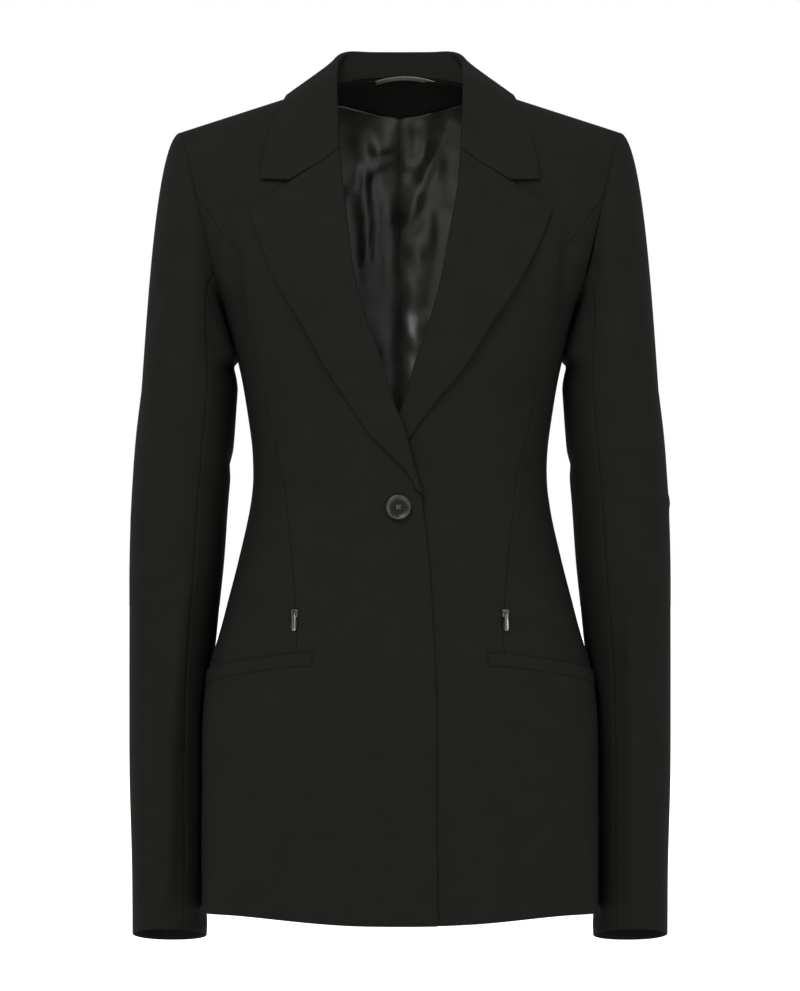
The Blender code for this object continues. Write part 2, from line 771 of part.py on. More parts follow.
def gorge_seam(down):
    """The front end of the collar's fall: along the lapel's top to the notch, then out to the point."""
    near, far = ROLL[1][-1][1:], LAPEL_TIPS[1][-1][1:]
    if down < NOTCH_SHARE:
        share = mix(0.04, NOTCH_ON_LAPEL, down / NOTCH_SHARE)
        place = [mix(a, b, share) for a, b in zip(near, far)]
    else:
        share = (down - NOTCH_SHARE) / (1 - NOTCH_SHARE)
        notch = [mix(a, b, NOTCH_ON_LAPEL) for a, b in zip(near, far)]
        place = [mix(a, b, share) for a, b in zip(notch, COLLAR_POINT_PLACE)]
    lift = mix(2 * COLLAR_RADIUS - CLOTH, COLLAR_LIFT + COLLAR_CLOTH, 1 - (1 - down) ** 2)
    normal = torso_normal(*place)
    along = on_torso(*far) - on_torso(*near)
    return on_torso(*place, lift) + normal.cross(along).normalized() * GORGE_GAP


def collar_guides(share):
    """The collar's section at this share of the way: its foot, the middle of its fold, the way up,
    the way out, and the edge of the fall."""
    apex = spline_point(COLLAR_FOLD, share)
    edge = spline_point(COLLAR_EDGE_POINTS, share)
    foot, normal = neck_edge(share)
    step = 0.01
    ahead = spline_point(COLLAR_FOLD, share + step) - spline_point(COLLAR_FOLD, share - step)
    along = ahead.normalized()
    up = apex - (foot + edge) / 2
    up = (up - along * up.dot(along)).normalized()
    out = up.cross(along)
    centre = apex - up * COLLAR_RADIUS
    tangent = neck_edge(share + step)[0] - neck_edge(share - step)[0]
    away = normal.cross(tangent).normalized()
    away *= math.copysign(1.0, away.dot(apex - foot))
    climb = (apex - foot).normalized()
    behind = (normal - climb * normal.dot(climb)).normalized()
    room = STAND_GAP + COLLAR_CLOTH * max(0.0, -behind.dot(away))
    foot = foot - normal * CLOTH + away * room
    end_centre, end_up, end_out = gorge_end()
    flat = ease(past(FOLD_FLATTENS, share))
    centre = centre.lerp(end_centre, ease(past(FOLD_MEETS_ROLL, share)))
    up = up.lerp(end_up, flat).normalized()
    out = out.lerp(end_out, flat).normalized()
    short = centre - out * COLLAR_RADIUS - up * 0.0008
    foot = foot.lerp(short, ease(past(FOOT_MEETS_ROLL, share)))
    return foot, centre, up, out, edge


def clear_of_torso(point, lift):
    """The point, moved out where it stands less than the lift off the torso."""
    ridge = ridge_z(point.x)
    if point.z > ridge - FALL_EASE:
        return point
    angle, rise = locate(point.x, point.z, point.y > 0)
    normal = torso_normal(angle, rise)
    height = (point - torso(angle, rise)).dot(normal)
    return point + normal * max(lift - height, 0.0) * ease((ridge - FALL_EASE - point.z) / FALL_EASE)


def collar_half(share, column):
    """The collar's visible face: up the stand from the neckline, over the fold, down the fall."""
    share = min(max(share, 0.0), 1.0)
    foot, centre, up, out, edge = collar_guides(share)
    if column <= STAND_COLUMNS:
        return foot.lerp(centre - out * COLLAR_RADIUS, column / STAND_COLUMNS)
    if column <= STAND_COLUMNS + TURN_COLUMNS:
        turn = math.pi * (column - STAND_COLUMNS) / TURN_COLUMNS
        return centre - out * COLLAR_RADIUS * math.cos(turn) + up * COLLAR_RADIUS * math.sin(turn)
    down = (column - STAND_COLUMNS - TURN_COLUMNS) / FALL_COLUMNS
    start = centre + out * COLLAR_RADIUS
    bow = start + (out * FALL_BOW - up * FALL_DROOP) * (edge - start).length
    near, far = FALL_STRAIGHTENS
    bow = bow.lerp((start + edge) / 2, FALL_STRAIGHT * ease((share - near) / (far - near)))
    point = (1 - down) ** 2 * start + 2 * down * (1 - down) * bow + down * down * edge
    seam = start.lerp(gorge_seam(down), ease(down / 0.15))
    point = point.lerp(seam, ease(past(FALL_MEETS_GORGE, share)))
    return clear_of_torso(point, COLLAR_LIFT + COLLAR_CLOTH + FALL_ROOM * math.sin(math.pi * down))


def collar(column, row):
    share = 1 - 2 * row / COLLAR_ROWS
    point = collar_half(abs(share), column)
    return Vector((math.copysign(point.x, share) if abs(share) > 1e-9 else 0.0, point.y, point.z))


def build_collar():
    wall(
        "collar",
        collar,
        STAND_COLUMNS + TURN_COLUMNS + FALL_COLUMNS,
        COLLAR_ROWS,
        COLLAR_CLOTH,
        material("lapel_wool", CLOTH_BLACK, 0.7),
    )


def arm_row(step):
    """The armhole row at each of the steps round it, which are those of the panels' edges."""
    if step <= HIGH_ROWS:
        return SEAM_ROW * step / HIGH_ROWS
    if step <= HIGH_ROWS + SIDE_COLUMNS:
        return mix(SEAM_ROW, UNDERARM_ROW, (step - HIGH_ROWS) / SIDE_COLUMNS)
    past = (step - HIGH_ROWS - SIDE_COLUMNS) / BACK_HIGH_ROWS
    return mix(UNDERARM_ROW, len(ARMHOLE) - 1, past)


def sleeve_ring(turn, level):
    """A point of the sleeve's level section at this height, which slants towards the cuff."""
    inner, outer, middle, deep = (read(SLEEVE, level, axis) for axis in (1, 2, 3, 4))
    power = 2 / SLEEVE_SQUARENESS
    cosine, sine = math.cos(turn), math.sin(turn)
    x = (inner + outer) / 2 - (outer - inner) / 2 * math.copysign(abs(cosine) ** power, cosine)
    y = middle - deep * math.copysign(abs(sine) ** power, sine)
    slanted = ease((SLEEVE_TOP_Z - level) / (SLEEVE_TOP_Z - CUFF_Z))
    return Vector((x, y, level - CUFF_SLANT * slanted * (y - middle)))


def body_side(y, z):
    """How far out the body reaches beside the sleeve, at this depth and height."""
    z = min(max(z, HEM_Z), CHEST_Z)
    half, front, back = (read(TORSO, z, column) for column in (1, 2, 3))
    share = min(abs(y) / (front if y < 0 else back), 1.0)
    return half * (1 - share**SQUARENESS) ** (1 / SQUARENESS)


def beside_body(point, turn, near=1.0):
    """The point, laid against the body high under the arm and kept clear of it below."""
    limit = body_side(point.y, point.z) + HUG_GAP
    touching = ease((point.z - HUG_Z) / HUG_FADE) * ease((math.cos(turn) - HUG_TURN) / HUG_TURN)
    x = mix(point.x, min(point.x, limit), touching * near)
    past_limit = x - limit
    clear = (x + limit + math.hypot(past_limit, HUG_ROUNDING)) / 2
    below_hem = ease((HEM_Z - HUG_GAP - point.z) / HUG_FADE)
    return Vector((mix(mix(x, clear, near), x, below_hem), point.y, point.z))


def sleeve(step, row):
    """The sleeve's outer face: step goes round from the shoulder by the front, row goes down."""
    step %= ARM_STEPS
    turn = math.radians(read(SLEEVE_TURN, arm_row(step), 1))
    if row > CAP_ROWS:
        level = mix(SLEEVE_TOP_Z, CUFF_Z, (row - CAP_ROWS) / ARM_ROWS)
        return beside_body(sleeve_ring(turn, level), turn)
    angle, rise = armhole(arm_row(step))
    start = on_torso(angle, rise)
    end = sleeve_ring(turn, SLEEVE_TOP_Z)
    over = (1 - math.cos(turn)) / 2
    leaving = Vector((mix(*CAP_OUT, over), -CAP_FORWARD * math.sin(turn), mix(*CAP_DOWN, over)))
    start += leaving.normalized() * ARMHOLE_GAP
    arriving = Vector((CAP_ARRIVES * over, 0.0, CAP_FALLS * (end.z - start.z)))
    point = hermite(start, leaving, end, arriving, max(row, 0.0) / CAP_ROWS)
    return beside_body(point, turn, ease(row / HUG_ROWS))


def build_sleeve(side, suffix):
    back, front, rows = BACK_SLEEVE_STEP - ARM_STEPS, FRONT_SLEEVE_STEP, CAP_ROWS + ARM_ROWS
    pieces = (
        ("cap", back, front, 0, CAP_ROWS),
        ("top", back, front, CAP_ROWS, ELBOW_ROW),
        ("forearm", back, front, ELBOW_ROW, rows),
        ("under", front, BACK_SLEEVE_STEP, 0, rows),
    )
    for piece, first, last, high, low in pieces:
        wall(
            f"sleeve_{piece}_{suffix}",
            lambda column, row: sleeve(first + column, high + row),
            last - first,
            low - high,
            CLOTH,
            material("black_wool", CLOTH_BLACK, 0.75),
            side,
        )


def build_welt(side, suffix):
    """The pocket's welt: a strip over the pocket's line, at the panels' own columns."""
    first = read(SEAM, POCKET_RISE, 1)
    start = locate(WELT_START_X, CHEST_Z + POCKET_RISE * (CHEST_Z - HEM_Z))[0]
    angles = [start, mix(start, first, 0.5)]
    angles += [mix(first, SIDE_SEAM_ANGLE, column / SIDE_COLUMNS) for column in range(SIDE_COLUMNS)]
    tall = WELT_HEIGHT / (CHEST_Z - HEM_Z)

    def place(column, row):
        whole = min(max(int(column), 0), len(angles) - 2)
        angle = mix(angles[whole], angles[whole + 1], column - whole)
        return angle, pocket_rise(angle) + tall * (row - 1) / 2

    torso_wall(
        f"welt_{suffix}",
        side,
        place,
        len(angles) - 1,
        2,
        WELT_CLOTH,
        material("lapel_wool", CLOTH_BLACK, 0.7),
        lambda angle, rise: WELT_LIFT,
    )


def build_linings():
    """What shows inside the neck: a dark facing band under the collar's seam, and the back lining."""
    satin = material("satin_lining", LINING_BLACK, 0.3)
    inside = -CLOTH - LINING_GAP
    for side, suffix in ((-1, "r"), (1, "l")):

        def lining_place(column, row):
            across = min(BACK_COLUMNS - column, BACK_COLUMNS - LINING_SHORT)
            up = min(max(row, LINING_SHORT), BACK_ROWS - LINING_SHORT)
            return back_place(across, up, FACING_DROP)

        torso_wall(
            f"lining_back_{suffix}",
            side,
            lining_place,
            BACK_COLUMNS,
            BACK_ROWS,
            LINING_CLOTH,
            satin,
            lambda angle, rise: inside,
        )

    def facing_surface(column, row):
        along = 1 - 2 * column / FACING_COLUMNS
        angle, top = back_top(NECK_SHARE * min(abs(along), 1.0))
        rise = top - FACING_TOP - (FACING_DROP - FACING_TOP) * (1 - row / 2)
        point = on_torso(angle, rise, inside)
        return Vector((math.copysign(point.x, along), point.y, point.z))

    wall(
        "neck_facing",
        facing_surface,
        FACING_COLUMNS,
        2,
        LINING_CLOTH,
        material("black_wool", CLOTH_BLACK, 0.75),
    )

    def loop_surface(column, row):
        along = 2 * column / LOOP_COLUMNS - 1
        x = LOOP_X - along * LOOP_LENGTH / 2
        bow = 1 - along * along
        height = LOOP_Z + LOOP_WIDTH * (row - 0.5)
        angle, rise = locate(abs(x) + 0.0005, height, True)
        out = inside - LINING_CLOTH - LOOP_GAP
        seat = on_torso(angle, rise, out)
        return Vector((x, seat.y - LOOP_RISE * bow, seat.z + LOOP_RISE * bow))

    wall(
        "hanger_loop",
        loop_surface,
        LOOP_COLUMNS,
        1,
        LOOP_CLOTH,
        material("satin_lining", LINING_BLACK, 0.3),
        facing=lambda column, row: Vector((0.0, 1.0, 0.0)),
        trim=0.0,
    )


def seat_frame(side, x, z, out):
    """A frame on the torso: X across, Y up the cloth, Z out of it."""
    angle, rise = locate(x, z)
    origin = on_torso(angle, rise, out + overlap(side, angle, rise))
    normal = torso_normal(angle, rise)
    origin.x *= side
    normal.x *= side
    up = Vector((0.0, 0.0, 1.0))
    up = (up - normal * up.dot(normal)).normalized()
    across = up.cross(normal)
    turned = Matrix((across, up, normal)).transposed().to_4x4()
    return Matrix.Translation(origin) @ turned


def shape_object(name, mesh, frame, finish=None):
    made = bpy.data.objects.new(name, mesh)
    made.matrix_world = frame
    if finish:
        mesh.materials.append(finish)
        JACKET.objects.link(made)
    else:
        made.hide_render = True
        made.display_type = "WIRE"
        CUTTERS.objects.link(made)
    return made


def box_mesh(name, size, centre):
    bm = bmesh.new()
    bmesh.ops.create_cube(bm, size=1.0)
    bmesh.ops.scale(bm, vec=size, verts=bm.verts)
    bmesh.ops.translate(bm, vec=centre, verts=bm.verts)
    return mesh_from(bm, name)


def rod_mesh(name, radius, length, centre, axis="Z", sides=ROD_SIDES):
    """A cylinder of this length along one axis."""
    turns = {"Z": Matrix(), "X": Matrix.Rotation(math.pi / 2, 4, "Y")}
    bm = bmesh.new()
    bmesh.ops.create_cone(
        bm,
        cap_ends=True,
        segments=sides,
        radius1=radius,
        radius2=radius,
        depth=length,
        matrix=Matrix.Translation(centre) @ turns[axis],
    )
    return mesh_from(bm, name)


def boolean(made, other, operation):
    modifier = made.modifiers.new(operation.lower(), "BOOLEAN")
    modifier.operation = operation
    modifier.object = other


def build_button():
    """A four-hole button with a raised rim, turned about its own axis."""
    mesh = bpy.data.meshes.new("button")
    points = [(radius, 0.0, height) for radius, height in reversed(BUTTON_PROFILE)]
    edges = [(index, index + 1) for index in range(len(points) - 1)]
    mesh.from_pydata(points, edges, [])
    frame = seat_frame(-1, -BUTTON_X, BUTTON_Z, BUTTON_GAP)
    made = shape_object("button", mesh, frame, material("horn", HORN, 0.25))
    turn = made.modifiers.new("turn", "SCREW")
    turn.axis = "Z"
    turn.steps = turn.render_steps = BUTTON_SIDES
    turn.use_merge_vertices = True
    turn.merge_threshold = 0.00001
    for across in (-1, 1):
        for up in (-1, 1):
            centre = (across * BUTTON_HOLE_SPACING, up * BUTTON_HOLE_SPACING, 0.0)
            hole = rod_mesh(
                "button_hole", BUTTON_HOLE_RADIUS, CUTTER_LENGTH, centre, sides=BUTTON_HOLE_SIDES
            )
            boolean(made, shape_object("button_hole", hole, frame), "DIFFERENCE")
    for polygon in mesh.polygons:
        polygon.use_smooth = True


def pull_mesh():
    """The pull's teardrop plate, hanging from the pin."""
    bm = bmesh.new()
    bmesh.ops.create_grid(bm, x_segments=2, y_segments=PULL_ROWS, size=1.0)
    for vert in bm.verts:
        share = (1 - vert.co.y) / 2
        half = read(PULL_OUTLINE, share, 1) * PULL_WIDTH / 2
        vert.co = (vert.co.x * half, -share * PULL_LENGTH, -PULL_THICKNESS / 2)
    made = bmesh.ops.extrude_face_region(bm, geom=bm.faces[:], use_keep_orig=True)
    lifted = [item for item in made["geom"] if isinstance(item, bmesh.types.BMVert)]
    bmesh.ops.translate(bm, vec=(0.0, 0.0, PULL_THICKNESS), verts=lifted)
    bmesh.ops.recalc_face_normals(bm, faces=bm.faces)
    return mesh_from(bm, "pull")


def build_zip(side, suffix):
    """A slider on the front seam, and the teardrop pull that swings on its pin."""
    metal = material("dark_nickel", METAL, 0.3, 1.0)
    frame = seat_frame(side, ZIP_X, ZIP_Z, SEAM_GAP)
    plate = box_mesh("slider", SLIDER_SIZE, (0.0, SLIDER_Y, SLIDER_SIZE[2] / 2))
    slider = shape_object(f"zip_slider_{suffix}", plate, frame, metal)
    bevel = slider.modifiers.new("round", "BEVEL")
    bevel.width = SLIDER_ROUNDING
    bevel.segments = 2
    for end in (-1, 1):
        ear = box_mesh("ear", EAR_SIZE, (end * EAR_SPACING, 0.0, EAR_HEIGHT))
        boolean(slider, shape_object("ear", ear, frame), "UNION")
    pin = rod_mesh("pin", PIN_RADIUS, PIN_LENGTH, (0.0, 0.0, PIN_HEIGHT), "X", PIN_SIDES)
    boolean(slider, shape_object("pin", pin, frame), "UNION")

    hinge = frame @ Matrix.Translation((0.0, 0.0, PIN_HEIGHT))
    hinge = hinge @ Matrix.Rotation(math.radians(PULL_TILT), 4, "X")
    pull = shape_object(f"zip_pull_{suffix}", pull_mesh(), hinge, metal)
    barrel = rod_mesh("barrel", BARREL_RADIUS, BARREL_LENGTH, (0.0, 0.0, 0.0), "X")
    boolean(pull, shape_object("barrel", barrel, hinge), "UNION")
    bore = rod_mesh("bore", BORE_RADIUS, CUTTER_LENGTH, (0.0, 0.0, 0.0), "X")
    boolean(pull, shape_object("bore", bore, hinge), "DIFFERENCE")


for startup_object in list(bpy.data.objects):
    bpy.data.objects.remove(startup_object)
JACKET = bpy.data.collections.new("jacket")
CUTTERS = bpy.data.collections.new("cutters")
bpy.context.scene.collection.children.link(JACKET)
bpy.context.scene.collection.children.link(CUTTERS)

for wearer_side, suffix in ((-1, "r"), (1, "l")):
    build_body(wearer_side, suffix)
    build_lapel(wearer_side, suffix)
    build_sleeve(wearer_side, suffix)
    build_welt(wearer_side, suffix)
    build_zip(wearer_side, suffix)
build_collar()
build_linings()
build_button()
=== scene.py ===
# %% [markdown]
# # A fitted black jacket, filled out with no wearer
# A tailored jacket is a shell of cut panels, sewn edge to edge and pressed into shape. The packed
# frame already holds every panel as a plain stiff wall. Here each one is made again as fine cloth,
# on the same curves, with rounded edges, creases and a weave. Everything is in metres, +Z is up,
# the front faces -Y, and the wearer's left is +X.

# %% The frame
import bisect
import functools
import math

import bmesh
import bpy
from mathutils import Matrix, Vector, noise


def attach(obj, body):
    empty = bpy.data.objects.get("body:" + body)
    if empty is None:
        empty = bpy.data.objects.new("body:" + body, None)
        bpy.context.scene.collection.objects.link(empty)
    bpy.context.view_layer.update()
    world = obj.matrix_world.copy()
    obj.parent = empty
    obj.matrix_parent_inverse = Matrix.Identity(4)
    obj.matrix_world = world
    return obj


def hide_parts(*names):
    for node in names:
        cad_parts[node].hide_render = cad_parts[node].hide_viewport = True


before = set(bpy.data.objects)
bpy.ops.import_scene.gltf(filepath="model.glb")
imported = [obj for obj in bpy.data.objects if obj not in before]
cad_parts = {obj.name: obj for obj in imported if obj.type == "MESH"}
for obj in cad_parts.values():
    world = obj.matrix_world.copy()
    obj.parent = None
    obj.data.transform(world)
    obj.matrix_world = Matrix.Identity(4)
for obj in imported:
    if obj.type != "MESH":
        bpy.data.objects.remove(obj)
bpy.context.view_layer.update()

# %% [markdown]
# ## The camera
# The photograph looks straight at the chest from some way off. One pixel is 0.9 mm at the
# shoulders, so 991 rows span 0.892 m, and from 3 m away that fixes the lens.

# %% The camera
CAMERA_DISTANCE = 3.0
CAMERA_Z = -0.365
PIXEL = 0.0009
FRAME_PIXELS = 991
SENSOR = 36.0

camera_data = bpy.data.cameras.new("camera")
camera_data.sensor_width = SENSOR
camera_data.lens = SENSOR * CAMERA_DISTANCE / (PIXEL * FRAME_PIXELS)
camera = bpy.data.objects.new("camera", camera_data)
camera.location = (0.0, -CAMERA_DISTANCE, CAMERA_Z)
camera.rotation_euler = (math.pi / 2, 0.0, 0.0)
bpy.context.scene.collection.objects.link(camera)
bpy.context.scene.camera = camera
print("the lens is", round(camera_data.lens, 1), "mm")

# %% [markdown]
# ## Light and floor
# Black cloth is lit by what surrounds it. A white room gives the even, shadowless look of a
# catalogue photograph, and one large soft lamp from the upper left models the folds. The floor is
# a plain pale disc.

# %% Light and floor
ROOM_LIGHT = 1.0
KEY_POWER, KEY_SIZE, KEY_PLACE = 120.0, 1.1, (-0.9, -2.3, 1.9)
FILL_POWER, FILL_SIZE, FILL_PLACE = 30.0, 1.6, (2.2, -2.0, 0.4)
JACKET_MIDDLE = (0.0, 0.0, -0.35)
FLOOR_Z, FLOOR_RADIUS = -0.86, 12.0
FLOOR_GLOW = 0.55

bpy.context.scene.view_settings.view_transform = "Standard"
world = bpy.data.worlds.new("white room")
world.use_nodes = True
world.node_tree.nodes["Background"].inputs["Color"].default_value = (1.0, 1.0, 1.0, 1.0)
world.node_tree.nodes["Background"].inputs["Strength"].default_value = ROOM_LIGHT
bpy.context.scene.world = world


def soft_lamp(name, power, size, place):
    """A square lamp that points at the middle of the jacket."""
    lamp = bpy.data.lights.new(name, "AREA")
    lamp.energy = power
    lamp.size = size
    made = bpy.data.objects.new(name, lamp)
    made.location = place
    aim = Vector(JACKET_MIDDLE) - Vector(place)
    made.rotation_euler = aim.to_track_quat("-Z", "Y").to_euler()
    bpy.context.scene.collection.objects.link(made)


soft_lamp("key", KEY_POWER, KEY_SIZE, KEY_PLACE)
soft_lamp("fill", FILL_POWER, FILL_SIZE, FILL_PLACE)

floor_mesh = bpy.data.meshes.new("floor")
floor_shape = bmesh.new()
bmesh.ops.create_circle(floor_shape, cap_ends=True, radius=FLOOR_RADIUS, segments=96)
bmesh.ops.translate(floor_shape, vec=(0.0, 0.0, FLOOR_Z), verts=floor_shape.verts)
floor_shape.to_mesh(floor_mesh)
floor_shape.free()
floor = bpy.data.objects.new("floor", floor_mesh)
bpy.context.scene.collection.objects.link(floor)
pale = bpy.data.materials.new("pale floor")
pale.use_nodes = True
pale_shader = pale.node_tree.nodes["Principled BSDF"]
pale_shader.inputs["Base Color"].default_value = (0.85, 0.85, 0.85, 1.0)
pale_shader.inputs["Roughness"].default_value = 0.9
pale_shader.inputs["Emission Color"].default_value = (1.0, 1.0, 1.0, 1.0)
pale_shader.inputs["Emission Strength"].default_value = FLOOR_GLOW
floor_mesh.materials.append(pale)

# %% [markdown]
# ## Writing shader maths as expressions
# A weave is a formula over the cloth, and a formula reads best as one. This small class wraps a
# socket, so that adding or multiplying two of them adds a Math node to the tree.

# %% Shader maths
class Value:
    """A number that varies over a surface."""

    def __init__(self, finish, socket):
        self.finish, self.socket = finish, socket

    def math(self, operation, *others, first=None):
        return self.finish.maths(operation, self if first is None else first, *others)

    def __add__(self, other):
        return self.math("ADD", other)

    def __radd__(self, other):
        return self.math("ADD", other)

    def __sub__(self, other):
        return self.math("SUBTRACT", other)

    def __rsub__(self, other):
        return self.math("SUBTRACT", self, first=other)

    def __mul__(self, other):
        return self.math("MULTIPLY", other)

    def __rmul__(self, other):
        return self.math("MULTIPLY", other)

    def __truediv__(self, other):
        return self.math("DIVIDE", other)

    def __pow__(self, other):
        return self.math("POWER", other)


class Finish:
    """A material, and the nodes that are added to it."""

    def __init__(self, name, roughness, specular=0.5, metallic=0.0):
        self.material = bpy.data.materials.new(name)
        self.material.use_nodes = True
        self.tree = self.material.node_tree
        self.shader = self.tree.nodes["Principled BSDF"]
        self.constant("Roughness", roughness)
        self.constant("Specular IOR Level", specular)
        self.constant("Metallic", metallic)

    def constant(self, socket, value):
        self.shader.inputs[socket].default_value = value

    def node(self, kind, settings=None, **inputs):
        """Adds a node, sets its settings and then its inputs, which are values or links."""
        made = self.tree.nodes.new(kind)
        for key, value in (settings or {}).items():
            setattr(made, key, value)
        for key, value in inputs.items():
            self.feed(made.inputs[int(key[1:]) if key[0] == "_" else key.replace("_", " ")], value)
        return made

    def feed(self, socket, value):
        if isinstance(value, Value):
            value = value.socket
        if isinstance(value, bpy.types.NodeSocket):
            self.tree.links.new(value, socket)
        else:
            socket.default_value = value

    def value(self, socket):
        return Value(self, socket)

    def maths(self, operation, *values):
        made = self.tree.nodes.new("ShaderNodeMath")
        made.operation = operation
        for socket, value in zip(made.inputs, values):
            self.feed(socket, value)
        return self.value(made.outputs[0])

    def uv(self):
        """The two directions of the cloth in metres, from its UV map."""
        place = self.node("ShaderNodeUVMap", {"uv_map": "cut"})
        split = self.node("ShaderNodeSeparateXYZ", Vector=place.outputs["UV"])
        return self.value(split.outputs["X"]), self.value(split.outputs["Y"])

    def noise(self, scale, detail=2.0, vector=None):
        """Soft noise from 0 to 1, over the piece's own place unless a vector is given."""
        if vector is None:
            vector = self.node("ShaderNodeTexCoord").outputs["Object"]
        made = self.node("ShaderNodeTexNoise", Scale=scale, Detail=detail, Vector=vector)
        return self.value(made.outputs["Fac"])

    def wave(self, phase):
        """A smooth wave from 0 to 1 that repeats each time its phase grows by one."""
        return self.maths("SINE", phase * (2 * math.pi)) * 0.5 + 0.5

    def blend(self, share, first, second):
        """A colour between two others."""
        made = self.node("ShaderNodeMix", {"data_type": "RGBA", "clamp_factor": True})
        self.feed(made.inputs[0], share)
        self.feed(made.inputs[6], first)
        self.feed(made.inputs[7], second)
        return made.outputs[2]

    def bump(self, height, depth):
        """Bump of this depth in metres."""
        made = self.node("ShaderNodeBump", Strength=1.0, Distance=depth, Height=height)
        self.feed(self.shader.inputs["Normal"], made.outputs["Normal"])


def shade(colour, factor=1.0):
    return (*(channel * factor for channel in colour), 1.0)


# %% [markdown]
# ## Black worsted
# The cloth is a fine worsted: a tight twill of smooth yarns, three to the millimetre, with a soft
# black that is slightly warm. The diagonal of the twill is a wave over the sum of the two thread
# directions, and the yarns are waves along each. A little noise keeps the black from going flat.

# %% Black worsted
WOOL = (0.0056, 0.0056, 0.0049)
# The facing is the same worsted made darker: painted shade inside the neck.
SHADED_FACING_WOOL = (0.0040, 0.0040, 0.0036)
YARN = 0.00034
TWILL = 4


def worsted(name, colour, roughness=0.88, specular=0.03):
    finish = Finish(name, roughness, specular)
    across, along = finish.uv()
    warp = finish.wave(across / YARN)
    weft = finish.wave(along / YARN)
    twill = finish.wave((across + along) / (YARN * TWILL))
    yarns = warp * 0.35 + weft * 0.25 + twill * 0.4
    cloudy = finish.noise(45.0, 5.0)
    flecks = finish.noise(900.0, 2.0)
    tone = yarns * 0.2 + flecks * 0.5 + cloudy * 0.3
    colour_socket = finish.blend(tone, shade(colour, 0.4), shade(colour, 1.6))
    finish.feed(finish.shader.inputs["Base Color"], colour_socket)
    finish.feed(finish.shader.inputs["Roughness"], cloudy * 0.08 + (roughness - 0.04))
    finish.bump(yarns * 0.8 + flecks * 0.4, 0.00006)
    return finish.material


wool = worsted("black worsted", WOOL)
shaded_facing_wool = worsted("facing worsted in painted shade", SHADED_FACING_WOOL)
print("made", wool.name, "and", shaded_facing_wool.name)

# %% [markdown]
# ## Satin lining
# The lining is a smooth satin whose threads float, so it shines in soft streaks where it folds.
# Its roughness is low, a fine ribbing runs across it, and soft clouds of noise paint blotches of
# sheen and shade into its colour.

# %% Satin lining
SATIN = (0.013, 0.0136, 0.0108)
LOOP_SATIN = (0.034, 0.035, 0.029)
SATIN_RIB = 0.00030


def satin(name, colour, roughness=0.30, specular=0.40):
    finish = Finish(name, roughness, specular)
    across, along = finish.uv()
    ribs = finish.wave(along / SATIN_RIB) * 0.7 + finish.wave(across / SATIN_RIB) * 0.3
    cloudy = finish.noise(26.0, 4.0)
    # The clouds paint blotches of sheen and shade into the satin's colour.
    tone = ribs * 0.2 + (cloudy - 0.5) * 2.6 + 0.4
    colour_socket = finish.blend(tone, shade(colour, 0.35), shade(colour, 1.65))
    finish.feed(finish.shader.inputs["Base Color"], colour_socket)
    finish.feed(finish.shader.inputs["Roughness"], cloudy * 0.14 + (roughness - 0.07))
    finish.bump(ribs, 0.00002)
    return finish.material


lining = satin("satin lining", SATIN)
loop_satin = satin("loop satin", LOOP_SATIN)
print("made", lining.name, "and", loop_satin.name)

# %% [markdown]
# ## Horn, metal and thread
# The button is dark polished horn, clouded in layers, with a highlight painted lighter round its
# rim. The zip's slider and pull are dark metal with fine scratches, and two highlight streaks are
# painted down the pull. The button's thread is a dull twisted cotton.

# %% Horn, metal and thread
BUTTON_X, BUTTON_Z = -0.0013, -0.3755
# Where the painted rim highlight starts, and how fast it comes on.
RIM_INNER, RIM_HIGHLIGHT_SHARPNESS = 0.0078, 900.0


def horn_finish():
    """Dark horn in clouded layers, with a painted highlight that makes the button's rim lighter."""
    finish = Finish("dark horn", 0.26, 0.20)
    layers = finish.noise(150.0, 4.0)
    place = finish.node("ShaderNodeTexCoord").outputs["Object"]
    spot = (BUTTON_X, 0.0, BUTTON_Z)
    level = finish.node("ShaderNodeVectorMath", {"operation": "MULTIPLY"}, _0=place, _1=(1, 0, 1))
    away = finish.node(
        "ShaderNodeVectorMath", {"operation": "DISTANCE"}, _0=level.outputs["Vector"], _1=spot
    )
    # The rim is painted lighter than the dish: a painted highlight.
    rim_highlight_ramp = (finish.value(away.outputs["Value"]) - RIM_INNER) * RIM_HIGHLIGHT_SHARPNESS
    rim = finish.maths("SMOOTH_MIN", rim_highlight_ramp, 1.0, 0.2)
    layers_and_rim_highlight = finish.wave(layers * 2.5) * 0.5 + rim * 0.5
    colour_socket = finish.blend(layers_and_rim_highlight, (0.001, 0.001, 0.001, 1.0), (0.020, 0.0197, 0.0172, 1.0))
    finish.feed(finish.shader.inputs["Base Color"], colour_socket)
    finish.feed(finish.shader.inputs["Roughness"], layers * 0.2 + 0.16)
    finish.bump(finish.noise(700.0, 2.0), 0.00003)
    return finish.material


def metal_finish(name, colour, roughness):
    finish = Finish(name, roughness, 0.5, 1.0)
    scratches = finish.noise(2600.0, 2.0)
    colour_socket = finish.blend(scratches, shade(colour, 0.85), shade(colour, 1.15))
    finish.feed(finish.shader.inputs["Base Color"], colour_socket)
    finish.feed(finish.shader.inputs["Roughness"], scratches * 0.12 + (roughness - 0.06))
    finish.bump(scratches, 0.00001)
    return finish.material


